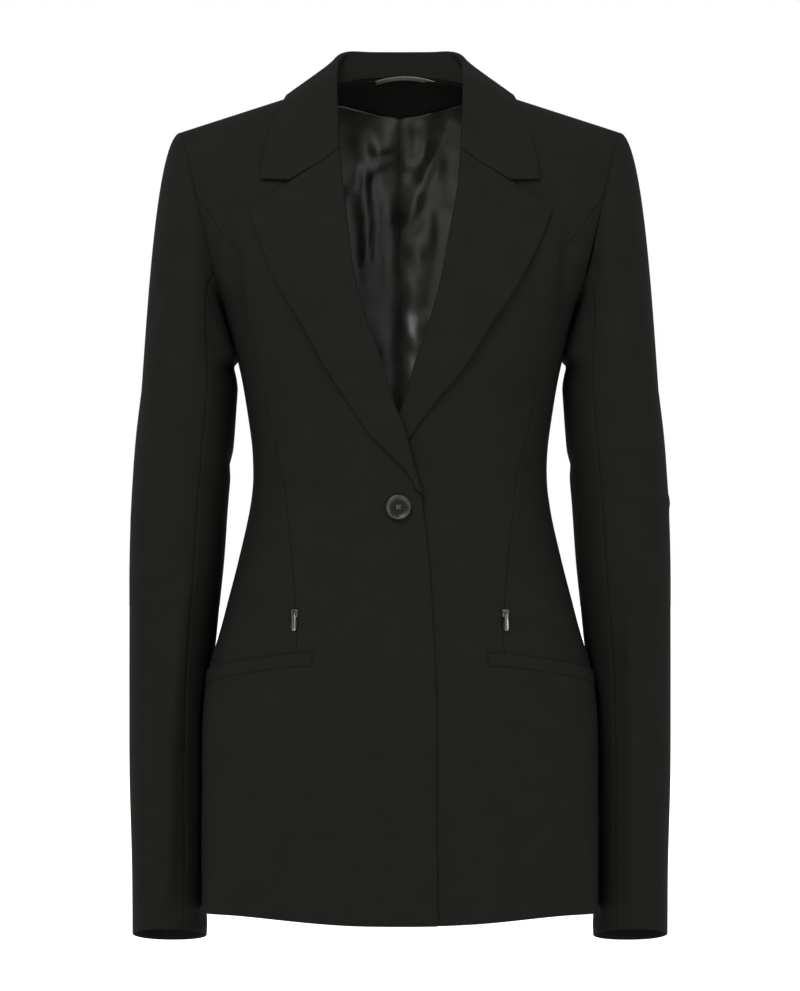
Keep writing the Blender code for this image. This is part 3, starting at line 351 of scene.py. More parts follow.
def highlight_painted_metal():
    """Dark nickel with two painted highlight streaks down the domed face."""
    finish = Finish("nickel with painted highlights", 0.2, 0.5, 1.0)
    across, down = finish.uv()
    # Two painted highlight streaks, placed across the pull's width.
    near = (across - 0.38) * 5.0
    far = (across + 0.30) * 7.0
    main_highlight = finish.maths("EXPONENT", near * near * -1.0)
    faint_highlight = finish.maths("EXPONENT", far * far * -1.0)
    painted_highlights = main_highlight + faint_highlight * 0.45 + finish.noise(2600.0, 2.0) * 0.06
    colour_socket = finish.blend(painted_highlights, (0.018, 0.018, 0.017, 1.0), (0.26, 0.26, 0.25, 1.0))
    finish.feed(finish.shader.inputs["Base Color"], colour_socket)
    return finish.material


def thread_finish(name, colour):
    finish = Finish(name, 0.7, 0.25)
    strands = finish.wave(finish.noise(3500.0, 1.0) * 2.0)
    colour_socket = finish.blend(strands, shade(colour, 0.6), shade(colour, 1.4))
    finish.feed(finish.shader.inputs["Base Color"], colour_socket)
    finish.bump(strands, 0.00005)
    return finish.material


horn = horn_finish()
pull_metal = highlight_painted_metal()
zip_metal = metal_finish("zip metal", (0.07, 0.07, 0.068), 0.32)
thread = thread_finish("button thread", (0.035, 0.030, 0.024))
coil_thread = thread_finish("zip coil", (0.006, 0.006, 0.006))
print("made", horn.name, pull_metal.name, zip_metal.name, thread.name, "and", coil_thread.name)

# %% [markdown]
# ## The sizes of the cut
# A tailor writes a jacket down as a few widths, depths and heights, and a smooth curve joins
# them. These tables do the same, and they are the frame's own, so that the cloth lies where the
# frame's walls do. A table's first column is its key, and the rest are read between the rows.

# %% Reading a table
def hermite(start, leaving, end, arriving, share):
    """A point of the curve between two ends with a given slope at each."""
    square, cube = share * share, share**3
    return (
        (2 * cube - 3 * square + 1) * start
        + (cube - 2 * square + share) * leaving
        + (3 * square - 2 * cube) * end
        + (cube - square) * arriving
    )


class Curve:
    """One column of a table, on a smooth curve through its rows."""

    def __init__(self, table, column=1):
        self.keys = [row[0] for row in table]
        self.values = [row[column] for row in table]
        last = len(table) - 1
        self.slopes = []
        for row in range(last + 1):
            low, high = max(row - 1, 0), min(row + 1, last)
            rise = self.values[high] - self.values[low]
            self.slopes.append(rise / (self.keys[high] - self.keys[low]))

    def __call__(self, key):
        at = min(max(bisect.bisect_right(self.keys, key) - 1, 0), len(self.keys) - 2)
        span = self.keys[at + 1] - self.keys[at]
        share = min(max((key - self.keys[at]) / span, 0.0), 1.0)
        start, end = self.values[at], self.values[at + 1]
        return hermite(start, span * self.slopes[at], end, span * self.slopes[at + 1], share)


def mix(first, second, share):
    return first + (second - first) * share


def ease(share):
    share = min(max(share, 0.0), 1.0)
    return share * share * (3 - 2 * share)


def past(start, share):
    """How far a share has come from the start towards 1."""
    return (share - start) / (1 - start)


# %% The torso's sizes
CLOTH = 0.0016
LINING_CLOTH = 0.0010
HEM_Z, CHEST_Z = -0.737, -0.195
NECK_X = 0.078
SHOULDER_SLOPE, NECK_RISE, SHOULDER_SPREAD = 0.322, 0.018, 1.387
SQUARENESS, FRONT_FULLNESS, BACK_FULLNESS = 2.6, 1.7, 2.1
HEM_SWEEP, HEM_SWEEP_START = 0.0050, 0.8

# z, half width, depth of the front, depth of the back
TORSO = (
    (-0.737, 0.1778, 0.1260, 0.1230),
    (-0.640, 0.1778, 0.1250, 0.1240),
    (-0.540, 0.1750, 0.1210, 0.1220),
    (-0.477, 0.1590, 0.1140, 0.1160),
    (-0.423, 0.1450, 0.1080, 0.1080),
    (-0.369, 0.1335, 0.1030, 0.0990),
    (-0.333, 0.1320, 0.1035, 0.0960),
    (-0.297, 0.1360, 0.1090, 0.0970),
    (-0.247, 0.1450, 0.1190, 0.1020),
    (-0.195, 0.1600, 0.1220, 0.1080),
)
HALF_WIDTH, FRONT_DEPTH, BACK_DEPTH = (Curve(TORSO, column) for column in (1, 2, 3))


def ridge_z(x):
    """The height of the shoulder seam, which rises towards the neck."""
    share = min(x / NECK_X, 1.0)
    level_middle = 2 + SHOULDER_SLOPE * NECK_X / NECK_RISE
    swell = (1 - share) ** 2 * (1 + level_middle * share)
    return SHOULDER_SLOPE * (NECK_X - x) + NECK_RISE * swell


def torso(angle, rise):
    """A point of the torso. The angle is 0 at the centre front, 90 at the side and 180 at the
    centre back; the rise is -1 at the hem, 0 at the chest and 1 on the shoulder seam."""
    z = CHEST_Z + min(rise, 0.0) * (CHEST_Z - HEM_Z)
    turn = math.radians(angle)
    if rise < -HEM_SWEEP_START and math.cos(turn) > 0:
        swept = ease((-rise - HEM_SWEEP_START) / (1 - HEM_SWEEP_START))
        lift = HEM_SWEEP * math.sin(2 * turn) ** 2 * swept
    else:
        lift = 0.0
    across = abs(math.sin(turn)) ** (2 / SQUARENESS)
    deep = abs(math.cos(turn)) ** (2 / SQUARENESS)
    x = HALF_WIDTH(z) * across
    y = -FRONT_DEPTH(z) * deep if math.cos(turn) > 0 else BACK_DEPTH(z) * deep
    if rise > 0:
        climb = min(rise, 1.0) * math.pi / 2
        power = 2 / mix(FRONT_FULLNESS, BACK_FULLNESS, abs(angle) / 180)
        climbed = math.sin(climb) ** power
        widened = climbed * (1.35 - 0.35 * climbed)
        ridge = x * SHOULDER_SPREAD
        x = mix(x, ridge, widened)
        y *= max(math.cos(climb), 0.0) ** power
        z = mix(z, ridge_z(ridge), climbed)
    return Vector((math.copysign(x, math.sin(turn)), y, z + lift))


# %% Finding places on the torso
BISECTIONS = 17


def angle_at(x, rise, back):
    """The angle whose point has this x, at this rise, on the front or on the back."""
    low, high = 0.0, 90.0
    for _ in range(BISECTIONS):
        middle = (low + high) / 2
        if torso(180 - middle if back else middle, rise).x < abs(x):
            low = middle
        else:
            high = middle
    angle = math.copysign((low + high) / 2, x)
    return 180 - angle if back else angle


def locate(x, z, back=False):
    """The angle and the rise of the torso's point at this x and z."""
    low, high = -1.0, 1.0
    for _ in range(BISECTIONS):
        rise = (low + high) / 2
        if torso(angle_at(x, rise, back), rise).z < z:
            low = rise
        else:
            high = rise
    return angle_at(x, rise, back), rise


def torso_normal(angle, rise):
    rise = min(rise, 0.985)
    along = torso(angle + 0.3, rise) - torso(angle - 0.3, rise)
    up = torso(angle, rise + 0.003) - torso(angle, rise - 0.003)
    return along.cross(up).normalized()


# %% [markdown]
# ## Creases
# Pressed wool hangs almost smooth. What it has are soft troughs and ridges: a drag line from the
# collar to the armhole, shallow hollows at the waist, folds at the elbows. Each is one line of a
# table, with its two ends, its reach to either side and its depth, and a bell-shaped curve turns
# it into a push out of the cloth.

# %% Creases of the body
# face, x and z of one end, x and z of the other, reach, push out (a trough is negative)
BODY_CREASES = (
    ("front", -0.126, -0.086, -0.164, -0.124, 0.011, -0.0040),
    ("front", -0.116, -0.104, -0.150, -0.152, 0.016, 0.0022),
    ("front", -0.147, -0.138, -0.140, -0.228, 0.010, -0.0040),
    ("front", -0.128, -0.150, -0.122, -0.215, 0.012, 0.0020),
    ("front", 0.124, -0.096, 0.168, -0.118, 0.011, -0.0030),
    ("front", 0.148, -0.130, 0.144, -0.215, 0.011, -0.0034),
    ("front", 0.120, -0.150, 0.130, -0.215, 0.013, 0.0016),
    ("front", -0.128, -0.262, -0.088, -0.300, 0.016, -0.0016),
    ("front", 0.130, -0.258, 0.094, -0.292, 0.014, -0.0018),
    ("front", -0.122, -0.330, -0.060, -0.352, 0.014, 0.0016),
    ("front", -0.126, -0.352, -0.050, -0.368, 0.010, -0.0020),
    ("front", 0.124, -0.340, 0.058, -0.360, 0.011, -0.0020),
    ("front", 0.128, -0.372, 0.040, -0.392, 0.014, 0.0016),
    ("front", -0.150, -0.560, -0.128, -0.728, 0.020, 0.0020),
    ("front", -0.060, -0.540, -0.050, -0.720, 0.030, 0.0018),
    ("front", 0.068, -0.560, 0.078, -0.725, 0.028, 0.0018),
    ("front", 0.034, -0.410, 0.043, -0.722, 0.013, -0.0024),
    ("back", -0.060, -0.090, -0.098, -0.190, 0.022, 0.0030),
    ("back", 0.064, -0.100, 0.104, -0.205, 0.020, 0.0028),
    ("back", -0.020, -0.030, -0.012, -0.170, 0.018, -0.0020),
    ("back", 0.112, -0.120, 0.130, -0.230, 0.012, -0.0030),
    ("back", -0.110, -0.110, -0.128, -0.225, 0.013, -0.0032),
    ("back", -0.112, -0.318, -0.030, -0.345, 0.012, -0.0024),
    ("back", -0.118, -0.352, -0.040, -0.362, 0.010, 0.0018),
    ("back", 0.116, -0.330, 0.024, -0.352, 0.013, -0.0023),
    ("back", 0.120, -0.366, 0.036, -0.378, 0.010, 0.0018),
    ("back", -0.084, -0.470, -0.100, -0.720, 0.030, 0.0030),
    ("back", 0.090, -0.480, 0.078, -0.722, 0.028, 0.0028),
    ("back", 0.012, -0.500, 0.020, -0.730, 0.020, -0.0016),
)


def bell(distance, reach):
    return math.exp(-2.5 * (distance / reach) ** 2)


def crease_push(line, x, z):
    """The push of one crease at a place: full along its middle, fading at its ends and sides."""
    x0, z0, x1, z1, reach, push = line
    run_x, run_z = x1 - x0, z1 - z0
    length = math.hypot(run_x, run_z)
    along = ((x - x0) * run_x + (z - z0) * run_z) / length
    across = abs((z - z0) * run_x - (x - x0) * run_z) / length
    if across > 2 * reach or not -reach < along < length + reach:
        return 0.0
    ends = ease((along + reach) / (2.4 * reach)) * ease((length + reach - along) / (2.4 * reach))
    return push * bell(across, reach) * ends


FRONT_LINES = [row[1:] for row in BODY_CREASES if row[0] == "front"]
BACK_LINES = [row[1:] for row in BODY_CREASES if row[0] == "back"]


def body_relief(side, point):
    """How far the creases push the cloth out at a point of the torso's +X half."""
    x, y, z = point.x * side, point.y, point.z
    front_share = 1 - ease((y + 0.03) / 0.06)
    push = 0.0
    if front_share > 0:
        push += front_share * sum(crease_push(line, x, z) for line in FRONT_LINES)
    if front_share < 1:
        push += (1 - front_share) * sum(crease_push(line, x, z) for line in BACK_LINES)
    return push


def on_torso(angle, rise, out=0.0, side=1):
    """A point this far out from the torso and its creases."""
    base = torso(angle, rise)
    return base + torso_normal(angle, rise) * (out + body_relief(side, base))


print("placed", len(BODY_CREASES), "creases on the body")

# %% [markdown]
# ## Sewing a wall of cloth
# A cut panel is a thin wall with turned, rounded edges. It could be a flat sheet with a Solidify
# modifier, but its edges would be square. So a grid of points gives the outer face, the inner face
# lies a thickness behind it, and a half-round rim of three rows joins them. The UV map holds
# lengths along the cloth in metres, so the weave follows the cut.

# %% Sewing a wall of cloth
EDGE_ROUND = 0.0005
SEAM_SLIT = 0.00004
RIM_TURNS = (45, 90, 135)


def steps(*stretches):
    """Evenly spaced values over each stretch: its start, its end and how many spaces it has."""
    values = [stretches[0][0]]
    for start, end, count in stretches:
        values += [mix(start, end, index / count) for index in range(1, count + 1)]
    return values


def grid_normals(points):
    """The direction that each point of a grid faces, from its neighbours."""
    rows, columns = len(points), len(points[0])
    normals = []
    for j in range(rows):
        line = []
        for i in range(columns):
            along = points[j][min(i + 1, columns - 1)] - points[j][max(i - 1, 0)]
            up = points[min(j + 1, rows - 1)][i] - points[max(j - 1, 0)][i]
            line.append(along.cross(up).normalized())
        normals.append(line)
    return normals


def grid_lengths(points):
    """Each point's place on the flat cloth: its lengths along the row and the column."""
    rows, columns = len(points), len(points[0])
    middle = columns // 2
    places = []
    heights = [0.0] * columns
    for j in range(rows):
        if j:
            heights = [heights[i] + (points[j][i] - points[j - 1][i]).length for i in range(columns)]
        run = [0.0]
        for i in range(1, columns):
            run.append(run[-1] + (points[j][i] - points[j][i - 1]).length)
        places.append([(run[i] - run[middle], heights[i]) for i in range(columns)])
    return places


def wall(name, points, thickness, finishes, side=1, keep=None, backed=None, trim=SEAM_SLIT):
    """A cloth wall on a grid of points, for the wearer's left, and mirrored where side is -1.
    keep(i, j) says which cells it has, and backed(i, j) which of them show the second finish
    inside. Gives the object, the area of its outer face, and its largest width and length."""
    rows, columns = len(points) - 1, len(points[0]) - 1
    cells = [(i, j) for j in range(rows) for i in range(columns) if keep is None or keep(i, j)]
    corners = ((0, 0), (1, 0), (1, 1), (0, 1))
    normals, lengths = grid_normals(points), grid_lengths(points)
    edge_count = {}
    for i, j in cells:
        loop = [(i + a, j + b) for a, b in corners]
        for start, end in zip(loop, loop[1:] + loop[:1]):
            edge_count[frozenset((start, end))] = edge_count.get(frozenset((start, end)), 0) + 1
    rim = {place for edge, count in edge_count.items() if count == 1 for place in edge}
    inward = {}
    for place in rim:
        i, j = place
        total = Vector()
        around = [(i + a, j + b) for a, b in ((1, 0), (-1, 0), (0, 1), (0, -1))]
        for other in around:
            if edge_count.get(frozenset((place, other))) == 2:
                total += (points[other[1]][other[0]] - points[j][i]).normalized()
        if total.length < 1e-6:
            for other in around:
                if frozenset((place, other)) in edge_count:
                    total += (points[other[1]][other[0]] - points[j][i]).normalized()
        normal = normals[j][i]
        total -= normal * total.dot(normal)
        inward[place] = total.normalized()

    bm = bmesh.new()
    uv_layer = bm.loops.layers.uv.new("cut")
    outer, inner, rings = {}, {}, {}
    half = thickness / 2

    def vert(point):
        return bm.verts.new((point.x * side, point.y, point.z))

    for i, j in {(i + a, j + b) for i, j in cells for a, b in corners}:
        point, normal = points[j][i], normals[j][i]
        if (i, j) in rim:
            into = inward[(i, j)]
            middle = point + into * (trim + EDGE_ROUND) - normal * half
            outer[(i, j)] = vert(middle + normal * half)
            inner[(i, j)] = vert(middle - normal * half)
            rings[(i, j)] = [outer[(i, j)]]
            for turn in RIM_TURNS:
                turned = math.radians(turn)
                round_out = normal * half * math.cos(turned) - into * EDGE_ROUND * math.sin(turned)
                rings[(i, j)].append(vert(middle + round_out))
            rings[(i, j)].append(inner[(i, j)])
        else:
            outer[(i, j)] = vert(point)
            inner[(i, j)] = vert(point - normal * thickness)

    def face(verts, places, material):
        if side < 0:
            verts, places = verts[::-1], places[::-1]
        made = bm.faces.new(verts)
        made.smooth = True
        made.material_index = material
        for loop, (i, j) in zip(made.loops, places):
            loop[uv_layer].uv = lengths[j][i]
        return made

    area = 0.0
    for i, j in cells:
        places = [(i + a, j + b) for a, b in corners]
        area += face([outer[place] for place in places], places, 0).calc_area()
        lined = 1 if backed is not None and backed(i, j) else 0
        face([inner[place] for place in places[::-1]], places[::-1], lined)
        for start, end in zip(places, places[1:] + places[:1]):
            if edge_count[frozenset((start, end))] == 1:
                first, second = rings[end], rings[start]
                for low in range(len(RIM_TURNS) + 1):
                    strip = [first[low], second[low], second[low + 1], first[low + 1]]
                    face(strip, [end, start, start, end], 0)
    mesh = bpy.data.meshes.new(name)
    bm.to_mesh(mesh)
    bm.free()
    for finish in finishes:
        mesh.materials.append(finish)
    made = bpy.data.objects.new(name, mesh)
    bpy.context.scene.collection.objects.link(made)
    width = max(lengths[j][-1][0] - lengths[j][0][0] for j in range(rows + 1))
    length = max(lengths[-1][i][1] for i in range(columns + 1))
    return made, area, width, length


def cloth(nodes, built, folded_in=1):
    """Attaches a cloth wall to the jacket, hides the frame's walls it stands for, and prints its
    cut, which is longer where the strip is folded in three before it is sewn on."""
    made, area, width, length = built
    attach(made, "jacket")
    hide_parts(*nodes.split())
    cut = (round(max(width, area / length) * 1.02, 4), round(length * folded_in, 4))
    print(f"{made.name}: cut {cut[0]} x {cut[1]} m, {area:.4f} m2, {len(made.data.polygons)} faces")
    return made


# %% [markdown]
# ## The edges of the front
# The front edge runs up from the hem to the roll line, which the lapel folds over, and on into
# the neckline. The wearer's right front laps over the left, so it stands a little further out.

# %% The edges of the front
SEAM_GAP = 0.0001
# z, x on the wearer's right front, x on the left; past the centre line x is below 0
FRONT_EDGE = (
    (-0.737, -0.0325, -0.0325),
    (-0.640, -0.0318, -0.0318),
    (-0.510, -0.0302, -0.0302),
    (-0.430, -0.0259, -0.0259),
    (-0.364, -0.0199, -0.0199),
    (-0.335, -0.0115, -0.0125),
    (-0.293, 0.0014, -0.0014),
    (-0.253, 0.0140, 0.0117),
    (-0.218, 0.0264, 0.0235),
    (-0.194, 0.0334, 0.0305),
    (-0.166, 0.0405, 0.0372),
    (-0.142, 0.0434, 0.0415),
    (-0.096, 0.0488, 0.0494),
    (-0.063, 0.0523, 0.0523),
)
NECKLINE = ((-0.035, 0.0640), (-0.013, 0.0735))
ROLL_END_Z, GORGE_Z = -0.364, -0.063
ROLL_RADIUS = (0.0019, 0.0032)
ROLL_END_EASE = 0.012
# z, how far the right front stands out where it laps over the left
OVERLAP = Curve(
    (
        (-0.737, 0.0026),
        (-0.400, 0.0028),
        (-0.368, 0.0050),
        (-0.290, 0.0050),
        (-0.255, 0.0015),
        (-0.200, 0.0),
    )
)
OVERLAP_RAMP = (0.036, 0.080)


def overlap(side, angle, rise):
    if side > 0:
        return 0.0
    point = torso(angle, rise)
    near, far = OVERLAP_RAMP
    return OVERLAP(point.z) * (1 - ease((point.x - near) / (far - near)))


def roll_radius(share):
    return mix(*ROLL_RADIUS, share)


def roll_share(z):
    return (z - ROLL_END_Z) / (GORGE_Z - ROLL_END_Z)


def fold_room(z):
    """The front stops short of the roll line, which the lapel's fold reaches."""
    room = roll_radius(min(max(roll_share(z), 0), 1)) + SEAM_GAP
    return room * ease((z - ROLL_END_Z + ROLL_END_EASE) / ROLL_END_EASE)


def seam_rows(table, column=1, inset=lambda z: 0.0):
    """A seam given by its z and x, as rows of rise and angle."""
    rows = []
    for row in table:
        angle, rise = locate(row[column] + inset(row[0]), row[0])
        rows.append((rise, angle))
    return rows


EDGE = {}
for wearer_side, edge_column in ((-1, 1), (1, 2)):
    edge_rows = seam_rows(FRONT_EDGE, edge_column, fold_room) + seam_rows(NECKLINE)
    EDGE[wearer_side] = Curve(edge_rows + [(1.0, angle_at(NECK_X, 1.0, False))])

# %% [markdown]
# ## Seams and armholes
# A shaped seam runs down each front from the armhole to the pocket, and takes the place of a
# dart. The armhole is one closed line round the arm, which the front, the side front, the back and
# both parts of the sleeve share.

# %% Seams and armholes
# z, x
FRONT_SEAM = (
    (-0.737, 0.0905),
    (-0.498, 0.0905),
    (-0.462, 0.0910),
    (-0.403, 0.0965),
    (-0.339, 0.1055),
    (-0.307, 0.1140),
    (-0.264, 0.1220),
    (-0.225, 0.1325),
    (-0.193, 0.1368),
    (-0.166, 0.1400),
    (-0.150, 0.1455),
    (-0.134, 0.1570),
)
SIDE_SEAM_ANGLE = 100.0
POCKET_RISE, POCKET_SLANT = -0.577, 0.039
# angle round the torso, rise
ARMHOLE = (
    (58.9, 1.00),
    (58.5, 0.80),
    (58.5, 0.60),
    (59.5, 0.43),
    (63.0, 0.25),
    (70.0, 0.10),
    (80.0, 0.00),
    (90.0, -0.022),
    (100.0, -0.022),
    (109.0, 0.02),
    (116.0, 0.14),
    (120.0, 0.32),
    (121.0, 0.55),
    (121.1, 0.80),
    (121.1, 1.00),
)
SEAM_ROW, UNDERARM_ROW = 3, 8
# share of the way, x, z
BACK_NECK = (
    (0.00, 0.0000, 0.0165),
    (0.25, 0.0200, 0.0162),
    (0.50, 0.0400, 0.0135),
    (0.75, 0.0600, 0.0072),
    (0.92, 0.0725, 0.0014),
)
ARMHOLE_ROWS = [(index, *row) for index, row in enumerate(ARMHOLE)]
ARMHOLE_ANGLE, ARMHOLE_RISE = Curve(ARMHOLE_ROWS, 1), Curve(ARMHOLE_ROWS, 2)
ARMHOLE_END = len(ARMHOLE) - 1
SEAM_TOP, UNDERARM = ARMHOLE[SEAM_ROW], ARMHOLE[UNDERARM_ROW]
SEAM = Curve(seam_rows(FRONT_SEAM) + [(SEAM_TOP[1], SEAM_TOP[0])])
NECK_ANGLE = angle_at(NECK_X, 1.0, True)
neck_rows = [(0.0, 180.0, locate(0.0005, BACK_NECK[0][2], True)[1])]
neck_rows += [(share, *locate(x, z, True)) for share, x, z in BACK_NECK[1:]]
neck_rows.append((1.0, NECK_ANGLE, 1.0))
NECK_ANGLES, NECK_RISES = Curve(neck_rows, 1), Curve(neck_rows, 2)


def armhole(row):
    return ARMHOLE_ANGLE(row), ARMHOLE_RISE(row)


def pocket_rise(angle):
    """The rise of the pocket's line, which slants down from the front seam to the side."""
    front = SEAM(POCKET_RISE)
    return POCKET_RISE - POCKET_SLANT * max(0.0, angle - front) / (90 - front)


# %% [markdown]
# ## Fronts, side fronts and backs
# Each panel is a patch between its seams. Its columns run between the two long seams and its rows
# between the hem, the pocket's line, the underarm and the shoulder, so neighbours share every
# seam's curve. The front is one piece with the side below the pocket.

# %% Where the panels' points go
LOW_ROWS, MIDDLE_ROWS, HIGH_ROWS = 5, 12, 8
FRONT_COLUMNS, SIDE_COLUMNS, BACK_COLUMNS = 7, 8, 10
BACK_HIGH_ROWS = 8
BACK_ROWS = LOW_ROWS + MIDDLE_ROWS + BACK_HIGH_ROWS
NECK_SHARE = 5 / BACK_COLUMNS
UPPER_ROW = LOW_ROWS + MIDDLE_ROWS


def front_place(side, column, row):
    """Angle and rise on the front: columns past the front seam belong below the pocket."""
    if row <= UPPER_ROW:
        if row <= LOW_ROWS:
            rise = mix(-1.0, POCKET_RISE, row / LOW_ROWS)
        else:
            rise = mix(POCKET_RISE, SEAM_TOP[1], (row - LOW_ROWS) / MIDDLE_ROWS)
        outer_angle = SEAM(rise)
    else:
        outer_angle, rise = armhole(SEAM_ROW * (1 - (row - UPPER_ROW) / HIGH_ROWS))
    if column <= FRONT_COLUMNS:
        return mix(EDGE[side](rise), outer_angle, column / FRONT_COLUMNS), rise
    angle = mix(outer_angle, SIDE_SEAM_ANGLE, (column - FRONT_COLUMNS) / SIDE_COLUMNS)
    if row > LOW_ROWS:  # beyond the seam nothing is sewn, but the seam's direction is read there
        return angle, rise
    return angle, -1.0 + (pocket_rise(angle) + 1.0) * row / LOW_ROWS


def seam_bend(rise):
    """How far the front seam bends off the straight line between its two ends."""
    up = (rise - POCKET_RISE) / (SEAM_TOP[1] - POCKET_RISE)
    return SEAM(rise) - mix(SEAM(POCKET_RISE), SEAM_TOP[0], up)


def side_place(column, row):
    """Angle and rise on the side front."""
    share = column / SIDE_COLUMNS
    up = row / MIDDLE_ROWS
    top_angle, top_rise = armhole(mix(SEAM_ROW, UNDERARM_ROW, share))
    foot = mix(SEAM(POCKET_RISE), SIDE_SEAM_ANGLE, share)
    rise = mix(pocket_rise(foot), top_rise, up)
    bend = (seam_bend(rise) - seam_bend(top_rise) * up) * (1 - share)
    return mix(foot, top_angle, up) + bend, rise


def back_top(share):
    """The neckline from the centre back to the neck point, then the shoulder seam."""
    if share <= NECK_SHARE:
        return NECK_ANGLES(share / NECK_SHARE), NECK_RISES(share / NECK_SHARE)
    return mix(NECK_ANGLE, ARMHOLE[-1][0], (share - NECK_SHARE) / (1 - NECK_SHARE)), 1.0


def back_place(column, row, drop=0.0):
    """Angle and rise on the back, from the centre-back seam out to the side and the armhole."""
    share = column / BACK_COLUMNS
    if row <= UPPER_ROW:
        side_rise = pocket_rise(SIDE_SEAM_ANGLE)
        if row <= LOW_ROWS:
            rise = mix(-1.0, side_rise, row / LOW_ROWS)
        else:
            rise = mix(side_rise, UNDERARM[1], (row - LOW_ROWS) / MIDDLE_ROWS)
        return mix(180.0, SIDE_SEAM_ANGLE, share), rise
    up = (row - UPPER_ROW) / BACK_HIGH_ROWS
    arm_angle, arm_rise = armhole(mix(UNDERARM_ROW, ARMHOLE_END, up))
    top_angle, top_rise = back_top(share)
    top_rise -= drop * (1 - ease((share - NECK_SHARE) / 0.25))
    level = mix(180.0, SIDE_SEAM_ANGLE, share)
    past_arm = arm_angle - mix(SIDE_SEAM_ANGLE, ARMHOLE[-1][0], up)
    angle = mix(level, top_angle, up) + share * past_arm
    rise = mix(UNDERARM[1], top_rise, up) + share * (arm_rise - mix(UNDERARM[1], 1.0, up))
    return angle, rise


# %% Cutting and sewing the body
HEM_TURN_UP = 0.040
FACING_WIDTH = 0.085


def torso_grid(side, place, columns, rows, out=lambda angle, rise: 0.0):
    """The points of a panel, out from the torso at each place(column, row)."""
    points = []
    for row in rows:
        line = []
        for column in columns:
            angle, rise = place(column, row)
            line.append(on_torso(angle, rise, out(angle, rise), side))
        points.append(line)
    return points


def sewn_body(side, suffix):
    columns = steps((0, FRONT_COLUMNS, 28), (FRONT_COLUMNS, FRONT_COLUMNS + SIDE_COLUMNS, 36))
    rows = steps((0, LOW_ROWS, 46), (LOW_ROWS, UPPER_ROW, 84), (UPPER_ROW, BACK_ROWS, 40))
    points = torso_grid(
        side,
        lambda column, row: front_place(side, column, row),
        columns,
        rows,
        lambda angle, rise: overlap(side, angle, rise),
    )

    def front_keep(i, j):
        return not (rows[j] >= LOW_ROWS and columns[i] >= FRONT_COLUMNS)

    def front_lined(i, j):
        corner = points[j][i]
        edge = points[j][0]
        return corner.z > HEM_Z + HEM_TURN_UP and (corner - edge).length > FACING_WIDTH

    finishes = (wool, lining)
    built = wall(f"cloth_front_{suffix}", points, CLOTH, finishes, side, front_keep, front_lined)
    cloth(f"front_{suffix}", built)

    columns = steps((0, SIDE_COLUMNS, 36))
    rows = steps((0, MIDDLE_ROWS, 84))
    points = torso_grid(side, side_place, columns, rows)
    built = wall(
        f"cloth_front_side_{suffix}", points, CLOTH, finishes, side, backed=lambda i, j: True
    )
    cloth(f"front_side_{suffix}", built)

    columns = steps((0, BACK_COLUMNS, 44))
    rows = steps((0, LOW_ROWS, 40), (LOW_ROWS, UPPER_ROW, 76), (UPPER_ROW, BACK_ROWS, 46))
    points = torso_grid(side, lambda c, r: back_place(BACK_COLUMNS - c, r), columns, rows)
    built = wall(f"cloth_back_{suffix}", points, CLOTH, (wool,), side)
    cloth(f"back_{suffix}", built)


for wearer_side, suffix in ((-1, "r"), (1, "l")):
    sewn_body(wearer_side, suffix)

# %% [markdown]
# ## Lapels
# A lapel is the top of the front, folded back on itself at the roll line. Its section is a tight
# turn of about 3 mm radius and then a flat run out to the edge, which settles onto the chest. It
# is drawn as that section, carried up the roll line.

# %% Lapels
LAPEL_LIFT, LAPEL_SPRING = 0.0026, 0.0034
ROLL_TURN = (-80.0, 90.0)
LAPEL_ROWS, FOLD_COLUMNS, LAPEL_COLUMNS = 14, 4, 5
# z, x on the wearer's right lapel, x on the left
LAPEL_EDGE = (
    (-0.3620, -0.0147, -0.0150),
    (-0.3464, -0.0069, -0.0085),
    (-0.3291, 0.0087, 0.0010),
    (-0.3084, 0.0277, 0.0125),
    (-0.2825, 0.0449, 0.0315),
    (-0.2524, 0.0643, 0.0555),
    (-0.2157, 0.0840, 0.0780),
    (-0.1848, 0.1025, 0.0985),
    (-0.1533, 0.1170, 0.1160),
    (-0.1163, 0.1310, 0.1325),
)
LAPEL_EDGE_X = {-1: Curve(LAPEL_EDGE, 1), 1: Curve(LAPEL_EDGE, 2)}
ROLL = {}
for wearer_side, edge_column in ((-1, 1), (1, 2)):
    roll_rows = [
        (roll_share(row[0]), *locate(row[edge_column], row[0]))
        for row in FRONT_EDGE
        if row[0] >= ROLL_END_Z
    ]
    ROLL[wearer_side] = (Curve(roll_rows, 1), Curve(roll_rows, 2))


@functools.cache
def lapel_edge(side, up):
    """The place of the lapel's outer edge, from the roll's lower end up to the tip."""
    z = mix(LAPEL_EDGE[0][0], LAPEL_EDGE[-1][0], up)
    return locate(LAPEL_EDGE_X[side](z), z)


